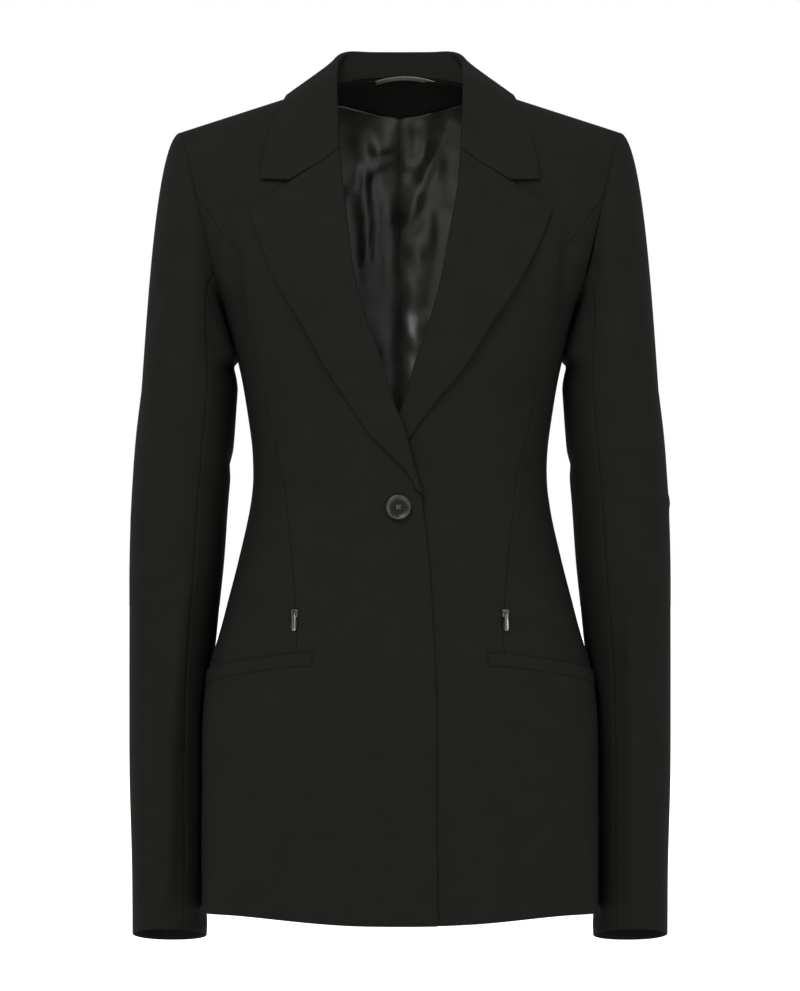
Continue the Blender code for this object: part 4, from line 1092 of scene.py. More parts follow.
def lapel(side, column, row):
    """The visible face of a lapel: round the fold at the roll line, then out over the front."""
    up = row / LAPEL_ROWS
    radius = roll_radius(up)
    near = [curve(up) for curve in ROLL[side]]
    far = lapel_edge(side, up)

    def over(share, out):
        angle, rise = (mix(a, b, share) for a, b in zip(near, far))
        return on_torso(angle, rise, out + overlap(side, angle, rise), side)

    apex = over(0.0, 0.0)
    width = (over(1.0, 0.0) - apex).length
    if column < FOLD_COLUMNS:
        along = (over(0.03, 0.0) - apex).normalized()
        normal = (over(0.0, 0.001) - apex).normalized()
        turn = math.radians(mix(*ROLL_TURN, column / FOLD_COLUMNS))
        centre = apex + along * radius + normal * (radius - CLOTH)
        return centre - along * radius * math.cos(turn) + normal * radius * math.sin(turn)
    share = (column - FOLD_COLUMNS) / LAPEL_COLUMNS
    start = min(radius / width, 0.5)
    settle = 1 - (1 - min(share, 1.0)) ** 2
    spring = LAPEL_SPRING * math.sin(math.pi * up) * ease((up - 0.25) / 0.3) * ease(share)
    out = mix(2 * radius - CLOTH, LAPEL_LIFT, settle)
    return over(mix(start, 1.0, share), max(out, LAPEL_LIFT) + spring)


for wearer_side, suffix in ((-1, "r"), (1, "l")):
    lapel_columns = steps((0, FOLD_COLUMNS, 14), (FOLD_COLUMNS, FOLD_COLUMNS + LAPEL_COLUMNS, 22))
    lapel_points = [
        [lapel(wearer_side, column, row) for column in lapel_columns]
        for row in steps((0, LAPEL_ROWS, 80))
    ]
    built = wall(f"cloth_lapel_{suffix}", lapel_points, CLOTH, (wool,), wearer_side)
    cloth(f"lapel_{suffix}", built)

# %% [markdown]
# ## The collar
# A collar is one strip: its stand rises inside the neck, it turns over at the top, and its fall
# comes down outside and meets the lapel in the gorge seam, as far as the notch. It is a section
# of stand, turn and fall carried round the neck, and near the gorge the section bends until it
# continues the lapel's own fold.

# %% The collar's guides
COLLAR_RADIUS = ROLL_RADIUS[1]
COLLAR_CLOTH, COLLAR_LIFT = 0.0016, 0.0018
FALL_BOW, FALL_DROOP, FALL_ROOM, FALL_EASE = 0.02, 0.50, 0.0012, 0.004
FALL_STRAIGHT, FALL_STRAIGHTENS = 0.9, (0.25, 0.46)
STAND_GAP, GORGE_GAP = 0.0003, 0.0
FALL_MEETS_GORGE, FOLD_FLATTENS, FOLD_MEETS_ROLL, FOOT_MEETS_ROLL = 0.62, 0.78, 0.90, 0.93
NOTCH_ON_LAPEL, NOTCH_SHARE = 0.46, 0.60
COLLAR_ROWS, STAND_COLUMNS, TURN_COLUMNS, FALL_COLUMNS = 28, 2, 4, 4
# share of the way, x, y, z
COLLAR_FOLD = (
    (0.00, 0.0000, 0.0560, 0.0415),
    (0.18, 0.0280, 0.0535, 0.0413),
    (0.32, 0.0465, 0.0440, 0.0405),
    (0.42, 0.0535, 0.0280, 0.0345),
    (0.55, 0.0560, 0.0020, 0.0215),
    (0.70, 0.0560, -0.0300, 0.0040),
    (0.85, 0.0545, -0.0630, -0.0285),
    (1.00, 0.0527, -0.0875, -0.0627),
)
# share of the way, x, z, 1 on the back and 0 on the front
COLLAR_EDGE = (
    (0.00, 0.0000, -0.0120, 1),
    (0.15, 0.0310, -0.0125, 1),
    (0.30, 0.0620, -0.0140, 1),
    (0.42, 0.0860, -0.0130, 1),
    (0.50, 0.0990, -0.0075, 0),
    (0.60, 0.1050, -0.0200, 0),
    (0.70, 0.1105, -0.0340, 0),
    (0.80, 0.1165, -0.0520, 0),
    (0.90, 0.1205, -0.0700, 0),
    (1.00, 0.1220, -0.0890, 0),
)
GORGE_NEAR = [curve(1.0) for curve in ROLL[1]]
GORGE_FAR = lapel_edge(1, 1.0)
EDGE_GORGE_RISE = locate(FRONT_EDGE[-1][1], GORGE_Z)[1]
COLLAR_POINT = locate(COLLAR_EDGE[-1][1], COLLAR_EDGE[-1][2])
fall_rows = []
for share, x, z, behind in COLLAR_EDGE:
    on_ridge = z >= ridge_z(x) - 0.001
    place = (angle_at(x, 1.0, False), 1.0) if on_ridge else locate(max(x, 0.0005), z, bool(behind))
    point = on_torso(*place, COLLAR_LIFT + COLLAR_CLOTH)
    fall_rows.append((share, x if share == 0 else point.x, point.y, point.z))
FALL_EDGE = [Curve(fall_rows, axis) for axis in (1, 2, 3)]
FOLD_LINE = [Curve(COLLAR_FOLD, axis) for axis in (1, 2, 3)]


def along_curves(curves, key):
    return Vector([curve(key) for curve in curves])


def between(first, second, share):
    return [mix(a, b, share) for a, b in zip(first, second)]


def neck_edge(share):
    """A point of the neckline and the way out from it, from the centre back round to the gorge."""
    share = min(max(share, 0.0), 1.0)
    if share <= 0.5:
        angle, rise = back_top(NECK_SHARE * share / 0.5)
    else:
        rise = mix(1.0, EDGE_GORGE_RISE, (share - 0.5) / 0.5)
        angle = EDGE[1](rise)
    return on_torso(angle, rise), torso_normal(angle, rise)


def gorge_end():
    """The collar's fold where it meets the lapel's: its middle, the way up and the way out."""
    apex = on_torso(*GORGE_NEAR)
    along = (on_torso(*between(GORGE_NEAR, GORGE_FAR, 0.03)) - apex).normalized()
    normal = torso_normal(*GORGE_NEAR)
    centre = apex + along * COLLAR_RADIUS + normal * (COLLAR_RADIUS - CLOTH)
    return centre + normal.cross(along) * GORGE_GAP, -along, normal


def gorge_seam(down):
    """The front end of the fall: along the lapel's top to the notch, then out to the point."""
    if down < NOTCH_SHARE:
        share = mix(0.04, NOTCH_ON_LAPEL, down / NOTCH_SHARE)
        place = between(GORGE_NEAR, GORGE_FAR, share)
    else:
        notch = between(GORGE_NEAR, GORGE_FAR, NOTCH_ON_LAPEL)
        place = between(notch, COLLAR_POINT, (down - NOTCH_SHARE) / (1 - NOTCH_SHARE))
    lift = mix(2 * COLLAR_RADIUS - CLOTH, COLLAR_LIFT + COLLAR_CLOTH, 1 - (1 - down) ** 2)
    along = on_torso(*GORGE_FAR) - on_torso(*GORGE_NEAR)
    away = torso_normal(*place).cross(along).normalized()
    return on_torso(*place, lift) + away * GORGE_GAP


GORGE_END = gorge_end()


def collar_guides(share):
    """The collar's section: its foot, the middle of its fold, the ways up and out, and its edge."""
    apex = along_curves(FOLD_LINE, share)
    edge = along_curves(FALL_EDGE, share)
    foot, normal = neck_edge(share)
    step = 0.01
    ahead = along_curves(FOLD_LINE, share + step) - along_curves(FOLD_LINE, share - step)
    along = ahead.normalized()
    up = apex - (foot + edge) / 2
    up = (up - along * up.dot(along)).normalized()
    out = up.cross(along)
    centre = apex - up * COLLAR_RADIUS
    tangent = neck_edge(share + step)[0] - neck_edge(share - step)[0]
    away = normal.cross(tangent).normalized()
    away *= math.copysign(1.0, away.dot(apex - foot))
    climb = (apex - foot).normalized()
    behind = (normal - climb * normal.dot(climb)).normalized()
    room = STAND_GAP + COLLAR_CLOTH * max(0.0, -behind.dot(away))
    foot = foot - normal * CLOTH + away * room
    end_centre, end_up, end_out = GORGE_END
    flat = ease(past(FOLD_FLATTENS, share))
    centre = centre.lerp(end_centre, ease(past(FOLD_MEETS_ROLL, share)))
    up = up.lerp(end_up, flat).normalized()
    out = out.lerp(end_out, flat).normalized()
    short = centre - out * COLLAR_RADIUS - up * 0.0008
    foot = foot.lerp(short, ease(past(FOOT_MEETS_ROLL, share)))
    return foot, centre, up, out, edge


# %% The collar's section
def clear_of_torso(point, lift):
    """The point, moved out where it stands less than the lift off the torso."""
    ridge = ridge_z(point.x)
    if point.z > ridge - FALL_EASE:
        return point
    angle, rise = locate(point.x, point.z, point.y > 0)
    normal = torso_normal(angle, rise)
    short = lift - (point - torso(angle, rise)).dot(normal)
    return point + normal * max(short, 0.0) * ease((ridge - FALL_EASE - point.z) / FALL_EASE)


def collar_section(share, columns):
    """The collar's visible face: up the stand, over the fold, down the fall."""
    foot, centre, up, out, edge = collar_guides(share)
    start = centre + out * COLLAR_RADIUS
    bow = start + (out * FALL_BOW - up * FALL_DROOP) * (edge - start).length
    near, far = FALL_STRAIGHTENS
    bow = bow.lerp((start + edge) / 2, FALL_STRAIGHT * ease((share - near) / (far - near)))
    line = []
    for column in columns:
        if column <= STAND_COLUMNS:
            line.append(foot.lerp(centre - out * COLLAR_RADIUS, column / STAND_COLUMNS))
            continue
        if column <= STAND_COLUMNS + TURN_COLUMNS:
            turn = math.pi * (column - STAND_COLUMNS) / TURN_COLUMNS
            round_fold = up * math.sin(turn) - out * math.cos(turn)
            line.append(centre + round_fold * COLLAR_RADIUS)
            continue
        down = (column - STAND_COLUMNS - TURN_COLUMNS) / FALL_COLUMNS
        point = (1 - down) ** 2 * start + 2 * down * (1 - down) * bow + down * down * edge
        seam = start.lerp(gorge_seam(down), ease(down / 0.15))
        point = point.lerp(seam, ease(past(FALL_MEETS_GORGE, share)))
        room = FALL_ROOM * math.sin(math.pi * down)
        line.append(clear_of_torso(point, COLLAR_LIFT + COLLAR_CLOTH + room))
    return line


collar_columns = steps(
    (0, STAND_COLUMNS, 9),
    (STAND_COLUMNS, STAND_COLUMNS + TURN_COLUMNS, 12),
    (STAND_COLUMNS + TURN_COLUMNS, STAND_COLUMNS + TURN_COLUMNS + FALL_COLUMNS, 20),
)
collar_half = [collar_section(share, collar_columns) for share in steps((0.0, 1.0, 76))]
for point in collar_half[0]:
    point.x = 0.0
mirrored = [[Vector((-point.x, point.y, point.z)) for point in line] for line in collar_half[1:]]
collar_points = collar_half[:0:-1] + [collar_half[0]] + mirrored
cloth("collar", wall("cloth_collar", collar_points, COLLAR_CLOTH, (wool,)))

# %% [markdown]
# ## Sleeves
# A tailored sleeve has two parts, a top and an under sleeve, and bends forward a little at the
# elbow. It is lofted from the armhole's line down to level rings. Its creases are placed by the
# angle round the sleeve and the height.

# %% Sleeve sizes
# z, inner x, outer x, y of the middle, half depth
SLEEVE = (
    (-0.766, 0.1755, 0.2425, 0.0245, 0.0480),
    (-0.700, 0.1730, 0.2430, 0.0245, 0.0492),
    (-0.620, 0.1725, 0.2450, 0.0235, 0.0505),
    (-0.540, 0.1700, 0.2450, 0.020, 0.0520),
    (-0.477, 0.1645, 0.2445, 0.015, 0.0540),
    (-0.423, 0.1588, 0.2440, 0.011, 0.0560),
    (-0.369, 0.1548, 0.2420, 0.008, 0.0580),
    (-0.315, 0.1495, 0.2380, 0.005, 0.0600),
    (-0.270, 0.1462, 0.2325, 0.003, 0.0620),
)
SLEEVE_CURVES = [Curve(SLEEVE, column) for column in (1, 2, 3, 4)]
SLEEVE_TOP_Z, CUFF_Z = -0.270, -0.7635
CUFF_SLANT = 0.23
SLEEVE_SQUARENESS = 2.2
ARMHOLE_GAP = -0.0008
CAP_OUT, CAP_DOWN, CAP_FORWARD = (0.030, 0.065), (-0.035, 0.010), 0.030
CAP_ARRIVES, CAP_FALLS = 0.018, 1.1
HUG_Z, HUG_FADE, HUG_GAP = -0.252, 0.014, 0.0018
HUG_ROUNDING, HUG_TURN, HUG_ROWS = 0.0010, 0.45, 1.6
# armhole row, angle round the sleeve: 0 towards the body, 90 in front, 180 outside
SLEEVE_TURN = Curve(
    (
        (0.0, 180.0),
        (3.0, 115.0),
        (5.0, 62.0),
        (6.0, 32.0),
        (7.3, 0.0),
        (8.0, -20.0),
        (10.0, -62.0),
        (12.0, -115.0),
        (14.0, -180.0),
    )
)
ARM_STEPS = HIGH_ROWS + SIDE_COLUMNS + BACK_HIGH_ROWS
FRONT_SLEEVE_STEP = HIGH_ROWS + 3
BACK_SLEEVE_STEP = HIGH_ROWS + SIDE_COLUMNS + 5
CAP_ROWS, ARM_ROWS = 7, 11
# side, angle round and z of one end, angle round and z of the other, reach, push out
SLEEVE_CREASES = (
    (-1, 120, -0.160, 150, -0.215, 0.012, -0.0020),
    (-1, 150, -0.455, 80, -0.440, 0.010, -0.0028),
    (-1, 160, -0.385, 95, -0.368, 0.013, 0.0024),
    (-1, 165, -0.350, 110, -0.338, 0.010, -0.0022),
    (-1, 60, -0.330, 100, -0.300, 0.012, -0.0020),
    (-1, 74, -0.440, 90, -0.730, 0.012, 0.0032),
    (-1, 108, -0.470, 120, -0.730, 0.014, -0.0014),
    (1, 95, -0.110, 70, -0.175, 0.012, -0.0034),
    (1, 120, -0.180, 95, -0.240, 0.014, 0.0020),
    (1, 165, -0.345, 85, -0.330, 0.010, -0.0028),
    (1, 168, -0.372, 80, -0.358, 0.010, 0.0030),
    (1, 160, -0.398, 90, -0.392, 0.009, -0.0026),
    (1, 100, -0.400, 88, -0.520, 0.010, 0.0028),
    (1, 88, -0.500, 88, -0.735, 0.011, 0.0034),
    (1, 112, -0.500, 116, -0.735, 0.014, -0.0014),
    (0, -40, -0.350, -130, -0.362, 0.012, -0.0026),
    (0, -35, -0.385, -120, -0.390, 0.012, 0.0022),
    (0, -45, -0.420, -125, -0.412, 0.011, -0.0020),
    (0, -90, -0.480, -84, -0.730, 0.016, 0.0016),
    (0, 20, -0.330, -30, -0.345, 0.012, -0.0020),
)
SLEEVE_RADIUS = 0.045

# %% Sleeves
def arm_row(step):
    """The armhole row at each of the steps round it."""
    if step <= HIGH_ROWS:
        return SEAM_ROW * step / HIGH_ROWS
    if step <= HIGH_ROWS + SIDE_COLUMNS:
        return mix(SEAM_ROW, UNDERARM_ROW, (step - HIGH_ROWS) / SIDE_COLUMNS)
    return mix(UNDERARM_ROW, ARMHOLE_END, (step - HIGH_ROWS - SIDE_COLUMNS) / BACK_HIGH_ROWS)


def sleeve_ring(turn, level):
    """A point of the sleeve's level section at this height, which slants towards the cuff."""
    inner, outer, middle, deep = (curve(level) for curve in SLEEVE_CURVES)
    power = 2 / SLEEVE_SQUARENESS
    cosine, sine = math.cos(turn), math.sin(turn)
    x = (inner + outer) / 2 - (outer - inner) / 2 * math.copysign(abs(cosine) ** power, cosine)
    y = middle - deep * math.copysign(abs(sine) ** power, sine)
    slanted = ease((SLEEVE_TOP_Z - level) / (SLEEVE_TOP_Z - CUFF_Z))
    return Vector((x, y, level - CUFF_SLANT * slanted * (y - middle)))


def body_side(y, z):
    """How far out the body reaches beside the sleeve, at this depth and height."""
    z = min(max(z, HEM_Z), CHEST_Z)
    half, front, back = (curve(z) for curve in (HALF_WIDTH, FRONT_DEPTH, BACK_DEPTH))
    share = min(abs(y) / (front if y < 0 else back), 1.0)
    return half * (1 - share**SQUARENESS) ** (1 / SQUARENESS)


def beside_body(point, turn, near=1.0):
    """The point, laid against the body high under the arm and kept clear of it below."""
    limit = body_side(point.y, point.z) + HUG_GAP
    touching = ease((point.z - HUG_Z) / HUG_FADE) * ease((math.cos(turn) - HUG_TURN) / HUG_TURN)
    x = mix(point.x, min(point.x, limit), touching * near)
    past_limit = x - limit
    clear = (x + limit + math.hypot(past_limit, HUG_ROUNDING)) / 2
    below_hem = ease((HEM_Z - HUG_GAP - point.z) / HUG_FADE)
    return Vector((mix(mix(x, clear, near), x, below_hem), point.y, point.z))


def sleeve(side, step, row):
    """The sleeve's outer face: step goes round from the shoulder by the front, row goes down."""
    step %= ARM_STEPS
    turn = math.radians(SLEEVE_TURN(arm_row(step)))
    if row > CAP_ROWS:
        level = mix(SLEEVE_TOP_Z, CUFF_Z, (row - CAP_ROWS) / ARM_ROWS)
        return beside_body(sleeve_ring(turn, level), turn)
    start = on_torso(*armhole(arm_row(step)), side=side)
    end = sleeve_ring(turn, SLEEVE_TOP_Z)
    over = (1 - math.cos(turn)) / 2
    leaving = Vector((mix(*CAP_OUT, over), -CAP_FORWARD * math.sin(turn), mix(*CAP_DOWN, over)))
    start += leaving.normalized() * ARMHOLE_GAP
    arriving = Vector((CAP_ARRIVES * over, 0.0, CAP_FALLS * (end.z - start.z)))
    point = hermite(start, leaving, end, arriving, max(row, 0.0) / CAP_ROWS)
    return beside_body(point, turn, ease(row / HUG_ROWS))


def sleeve_relief(side, step, point):
    """How far the creases push the sleeve out, with the angle turned into a length."""
    degrees = SLEEVE_TURN(arm_row(step % ARM_STEPS))
    push = 0.0
    for crease_side, turn0, z0, turn1, z1, reach, depth in SLEEVE_CREASES:
        if crease_side in (0, side):
            x, x0, x1 = (math.radians(turn) * SLEEVE_RADIUS for turn in (degrees, turn0, turn1))
            push += crease_push((x0, z0, x1, z1, reach, depth), x, point.z)
    return push * ease((point.z - CUFF_Z) / 0.03)


def sewn_sleeve(side, suffix):
    top_nodes = f"sleeve_cap_{suffix} sleeve_top_{suffix} sleeve_forearm_{suffix}"
    pieces = (
        ("top", top_nodes, BACK_SLEEVE_STEP - ARM_STEPS, FRONT_SLEEVE_STEP, 54),
        ("under", f"sleeve_under_{suffix}", FRONT_SLEEVE_STEP, BACK_SLEEVE_STEP, 40),
    )
    rows = steps((0, CAP_ROWS, 36), (CAP_ROWS, CAP_ROWS + ARM_ROWS, 96))
    for piece, nodes, first, last, count in pieces:
        columns = steps((first, last, count))
        points = [[sleeve(side, column, row) for column in columns] for row in rows]
        normals = grid_normals(points)
        for j, line in enumerate(points):
            for i, point in enumerate(line):
                line[i] = point + normals[j][i] * sleeve_relief(side, columns[i], point)
        built = wall(
            f"cloth_sleeve_{piece}_{suffix}",
            points,
            CLOTH,
            (wool, lining),
            side,
            backed=lambda i, j: points[j][i].z > CUFF_Z + HEM_TURN_UP,
        )
        cloth(nodes, built)


for wearer_side, suffix in ((-1, "r"), (1, "l")):
    sewn_sleeve(wearer_side, suffix)

# %% [markdown]
# ## Pocket welts
# Each pocket is a slit with one welt, a folded strip sewn along its lower side. Its upper edge is
# the pocket's mouth, and it slants down towards the side seam with the panels.

# %% Pocket welts
WELT_START_X = 0.0764
WELT_HEIGHT = 0.0113
WELT_CLOTH = 0.0012
WELT_LIFT = WELT_CLOTH + 0.00015
WELT_SUNK, WELT_OPEN = 0.0006, 0.0006


def sewn_welt(side, suffix):
    first = locate(WELT_START_X, CHEST_Z + POCKET_RISE * (CHEST_Z - HEM_Z))[0]
    tall = WELT_HEIGHT / (CHEST_Z - HEM_Z)
    last = mix(SEAM(POCKET_RISE), SIDE_SEAM_ANGLE, (SIDE_COLUMNS - 1) / SIDE_COLUMNS)

    def place(column, row):
        angle = mix(first, last, column)
        return angle, pocket_rise(angle) + tall * (row - 0.5)

    def out(angle, rise):
        up = (rise - pocket_rise(angle)) / tall + 0.5
        return WELT_LIFT + mix(-WELT_SUNK, WELT_OPEN, up)

    points = torso_grid(side, place, steps((0, 1, 60)), steps((0, 1, 7)), out)
    built = wall(f"cloth_welt_{suffix}", points, WELT_CLOTH, (wool,), side)
    cloth(f"welt_{suffix}", built)


for wearer_side, suffix in ((-1, "r"), (1, "l")):
    sewn_welt(wearer_side, suffix)

# %% [markdown]
# ## Inside the neck
# A band of the jacket's own cloth faces the back neck, coloured darker than the outside as painted
# shade inside the neck, and below it hangs the satin lining, in two halves with a seam down the
# middle. Lining is cut with ease, so it lies in long soft folds.

# %% Inside the neck
LINING_GAP = 0.0016
LINING_SHORT = 0.15
FACING_DROP, FACING_TOP, FACING_LAP = 0.14, 0.002, 0.016
LINING_IN = -CLOTH - LINING_GAP
# x and z of one end, x and z of the other, reach, push into the jacket
LINING_FOLDS = (
    (0.052, 0.000, 0.004, -0.115, 0.010, 0.0036),
    (0.030, -0.005, 0.022, -0.060, 0.008, -0.0022),
    (-0.034, -0.060, -0.030, -0.150, 0.006, 0.0030),
    (-0.046, -0.030, -0.026, -0.052, 0.009, -0.0030),
    (-0.020, -0.065, -0.016, -0.180, 0.009, -0.0020),
    (-0.048, -0.080, -0.038, -0.190, 0.008, -0.0026),
    (0.016, -0.120, 0.010, -0.300, 0.012, 0.0026),
    (0.040, -0.100, 0.028, -0.260, 0.010, -0.0030),
    (0.006, -0.140, 0.024, -0.175, 0.007, -0.0022),
    (-0.010, -0.190, -0.004, -0.330, 0.010, 0.0024),
    (-0.030, -0.200, -0.020, -0.340, 0.009, -0.0024),
    (0.002, -0.210, 0.030, -0.235, 0.008, 0.0020),
    (-0.014, -0.052, 0.012, -0.060, 0.006, 0.0020),
    (-0.030, -0.045, -0.004, -0.040, 0.006, 0.0018),
    (0.004, -0.240, 0.014, -0.330, 0.007, -0.0020),
    (0.078, -0.140, 0.060, -0.420, 0.016, 0.0040),
    (-0.080, -0.150, -0.070, -0.430, 0.016, 0.0038),
    (0.040, -0.420, 0.050, -0.700, 0.018, 0.0034),
    (-0.044, -0.400, -0.036, -0.690, 0.018, 0.0036),
    (0.096, -0.480, 0.110, -0.710, 0.016, 0.0036),
    (-0.104, -0.470, -0.112, -0.712, 0.016, 0.0034),
)
RUMPLE_SCALE, RUMPLE_DEPTH = 34.0, 0.0024


def lining_push(x, z, edge_share):
    """How far the lining stands into the jacket, which fades at its seams."""
    folds = sum(crease_push(line, x, z) for line in LINING_FOLDS)
    rumple = noise.noise(Vector((x * RUMPLE_SCALE * 1.6, 0.0, z * RUMPLE_SCALE))) * RUMPLE_DEPTH
    return max(folds + rumple + 0.0012, 0.0) * edge_share


def sewn_lining(side, suffix):
    columns = steps((0, BACK_COLUMNS, 46))
    rows = steps((0, LOW_ROWS, 34), (LOW_ROWS, UPPER_ROW, 84), (UPPER_ROW, BACK_ROWS, 52))
    points = []
    for row in rows:
        line = []
        for column in columns:
            across = min(BACK_COLUMNS - column, BACK_COLUMNS - LINING_SHORT)
            up = min(max(row, LINING_SHORT), BACK_ROWS - LINING_SHORT)
            angle, rise = back_place(across, up, FACING_DROP)
            base = torso(angle, rise)
            seam = ease(across / 0.35) * ease((BACK_COLUMNS - LINING_SHORT - across) / 1.5)
            seam *= ease((BACK_ROWS - LINING_SHORT - up) / 0.8)
            push = lining_push(base.x * side, base.z, seam)
            line.append(on_torso(angle, rise, LINING_IN - push, side))
        points.append(line)
    built = wall(f"cloth_lining_back_{suffix}", points, LINING_CLOTH, (lining,), side)
    cloth(f"lining_back_{suffix}", built)


for wearer_side, suffix in ((-1, "r"), (1, "l")):
    sewn_lining(wearer_side, suffix)

facing_points = []
for up in steps((0, 1, 8)):
    line = []
    for along in steps((1.0, -1.0, 64)):
        angle, top = back_top(NECK_SHARE * min(abs(along), 1.0))
        rise = top - mix(FACING_DROP + FACING_LAP, FACING_TOP, up)
        point = on_torso(angle, rise, LINING_IN - LINING_CLOTH * (1 - up) * 1.2)
        line.append(Vector((math.copysign(point.x, along), point.y, point.z)))
    facing_points.append(line)
# The facing's darker worsted is painted shade inside the neck.
built = wall("cloth_neck_facing", facing_points, LINING_CLOTH, (shaded_facing_wool,))
cloth("neck_facing", built)

# %% [markdown]
# ## The hanger loop
# A narrow folded strip of satin arches across the back neck, held down at its two ends.

# %% The hanger loop
LOOP_LENGTH, LOOP_WIDTH, LOOP_CLOTH = 0.061, 0.0035, 0.0010
LOOP_X, LOOP_Z = 0.0035, 0.0125
LOOP_RISE, LOOP_GAP = 0.0062, 0.0005
loop_points = []
for row in steps((0, 1, 4)):
    line = []
    for along in steps((-1, 1, 48)):
        x = LOOP_X - along * LOOP_LENGTH / 2
        bow = 1 - along * along
        angle, rise = locate(abs(x) + 0.0005, LOOP_Z + LOOP_WIDTH * (row - 0.5), True)
        seat = on_torso(angle, rise, LINING_IN - LINING_CLOTH - LOOP_GAP)
        line.append(Vector((x, seat.y - LOOP_RISE * bow, seat.z + LOOP_RISE * bow)))
    loop_points.append(line)
built = wall("cloth_hanger_loop", [line[::-1] for line in loop_points], LOOP_CLOTH, (loop_satin,))
cloth("hanger_loop", built, folded_in=3)

# %% [markdown]
# ## The button
# A four-hole horn button is turned on a lathe: a raised rim round a dished middle. A profile spun
# about its axis gives it, the holes are cut through, and a few loops of thread cross in them.

# %% The button
BUTTON_GAP = 0.0008
BUTTON_HOLE_RADIUS, BUTTON_HOLE_SPACING = 0.0010, 0.0019
BUTTON_SIDES = 96
CUTTER_LENGTH = 0.01
# radius, height from the flat back
BUTTON_PROFILE = (
    (0.0, 0.0),
    (0.0085, 0.0),
    (0.0098, 0.0003),
    (0.0105, 0.0011),
    (0.0108, 0.0018),
    (0.01075, 0.0024),
    (0.0105, 0.0028),
    (0.0101, 0.0031),
    (0.0096, 0.0032),
    (0.0091, 0.0031),
    (0.0086, 0.0029),
    (0.0082, 0.0025),
    (0.0078, 0.0021),
    (0.0072, 0.0019),
    (0.0050, 0.0018),
    (0.0, 0.0018),
)


def seat_frame(side, x, z, out):
    """A frame on the front: X across, Y up the cloth, Z out of it."""
    angle, rise = locate(x, z)
    origin = on_torso(angle, rise, out + overlap(side, angle, rise))
    normal = torso_normal(angle, rise)
    origin.x *= side
    normal.x *= side
    up = Vector((0.0, 0.0, 1.0))
    up = (up - normal * up.dot(normal)).normalized()
    turned = Matrix((up.cross(normal), up, normal)).transposed().to_4x4()
    return Matrix.Translation(origin) @ turned


def finished(name, source, matrix, finish, smooth=35.0):
    """The evaluated shape of an object as a plain mesh in its final place."""
    depsgraph = bpy.context.evaluated_depsgraph_get()
    mesh = bpy.data.meshes.new_from_object(source.evaluated_get(depsgraph))
    bpy.data.objects.remove(source)
    mesh.name = name
    mesh.transform(matrix)
    mesh.materials.clear()
    mesh.materials.append(finish)
    mesh.shade_smooth()
    mesh.set_sharp_from_angle(angle=math.radians(smooth))
    made = bpy.data.objects.new(name, mesh)
    bpy.context.scene.collection.objects.link(made)
    return made


def draft(name, mesh):
    made = bpy.data.objects.new(name, mesh)
    bpy.context.scene.collection.objects.link(made)
    return made


def lathe(name, profile, sides):
    """A closed shape turned about Z from its profile of radius and height."""
    mesh = bpy.data.meshes.new(name)
    points = [(radius, 0.0, height) for radius, height in reversed(profile)]
    mesh.from_pydata(points, [(index, index + 1) for index in range(len(points) - 1)], [])
    made = draft(name, mesh)
    turn = made.modifiers.new("turn", "SCREW")
    turn.axis = "Z"
    turn.steps = turn.render_steps = sides
    turn.use_merge_vertices = True
    turn.merge_threshold = 0.00001
    return made


def rod(name, radius, length, centre, axis="Z", sides=24):
    turns = {"Z": Matrix(), "X": Matrix.Rotation(math.pi / 2, 4, "Y")}
    bm = bmesh.new()
    bmesh.ops.create_cone(
        bm,
        cap_ends=True,
        segments=sides,
        radius1=radius,
        radius2=radius,
        depth=length,
        matrix=Matrix.Translation(centre) @ turns[axis],
    )
    mesh = bpy.data.meshes.new(name)
    bm.to_mesh(mesh)
    bm.free()
    return draft(name, mesh)


def boolean(made, other, operation):
    modifier = made.modifiers.new(operation.lower(), "BOOLEAN")
    modifier.operation = operation
    modifier.object = other
    other.hide_render = True
    return other


button_frame = seat_frame(-1, -BUTTON_X, BUTTON_Z, BUTTON_GAP)
button_draft = lathe("button_draft", BUTTON_PROFILE, BUTTON_SIDES)
button_cutters = []
for across in (-1, 1):
    for up in (-1, 1):
        centre = (across * BUTTON_HOLE_SPACING, up * BUTTON_HOLE_SPACING, 0)
        hole = rod("hole", BUTTON_HOLE_RADIUS, CUTTER_LENGTH, centre)
        button_cutters.append(boolean(button_draft, hole, "DIFFERENCE"))
button = finished("horn_button", button_draft, button_frame, horn)
for cutter in button_cutters:
    bpy.data.objects.remove(cutter)
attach(button, "jacket")
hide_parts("button")
print("the button has", len(button.data.polygons), "faces")

# %% The button's thread
THREAD_RADIUS = 0.00022
THREAD_LOOPS = 4
THREAD_RISE = 0.0021


def tube(name, routes, radius, matrix, finish, resolution=2):
    """Round strands along smooth routes, as one mesh."""
    curve = bpy.data.curves.new(name, "CURVE")
    curve.dimensions = "3D"
    curve.bevel_depth = radius
    curve.bevel_resolution = resolution
    curve.use_fill_caps = True
    for route in routes:
        spline = curve.splines.new("POLY")
        spline.points.add(len(route) - 1)
        for point, place in zip(spline.points, route):
            point.co = (*place, 1.0)
    return finished(name, draft(name, curve), matrix, finish, 60)


thread_routes = []
for across in (-1, 1):
    for loop in range(THREAD_LOOPS):
        shift = (loop - (THREAD_LOOPS - 1) / 2) * THREAD_RADIUS * 1.8
        route = []
        for share in steps((0, 1, 14)):
            reach = math.cos(math.pi * share) * (BUTTON_HOLE_SPACING + 0.0001)
            lift = THREAD_RISE + 0.0004 * math.sin(math.pi * share) + 0.0002 * (across > 0)
            dip = 0.0016 * (abs(2 * share - 1) ** 6)
            route.append((reach + shift * 0.7, across * reach - across * shift * 0.7, lift - dip))
        thread_routes.append(route)
button_thread = tube("button_thread", thread_routes, THREAD_RADIUS, button_frame, thread)
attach(button_thread, "jacket")

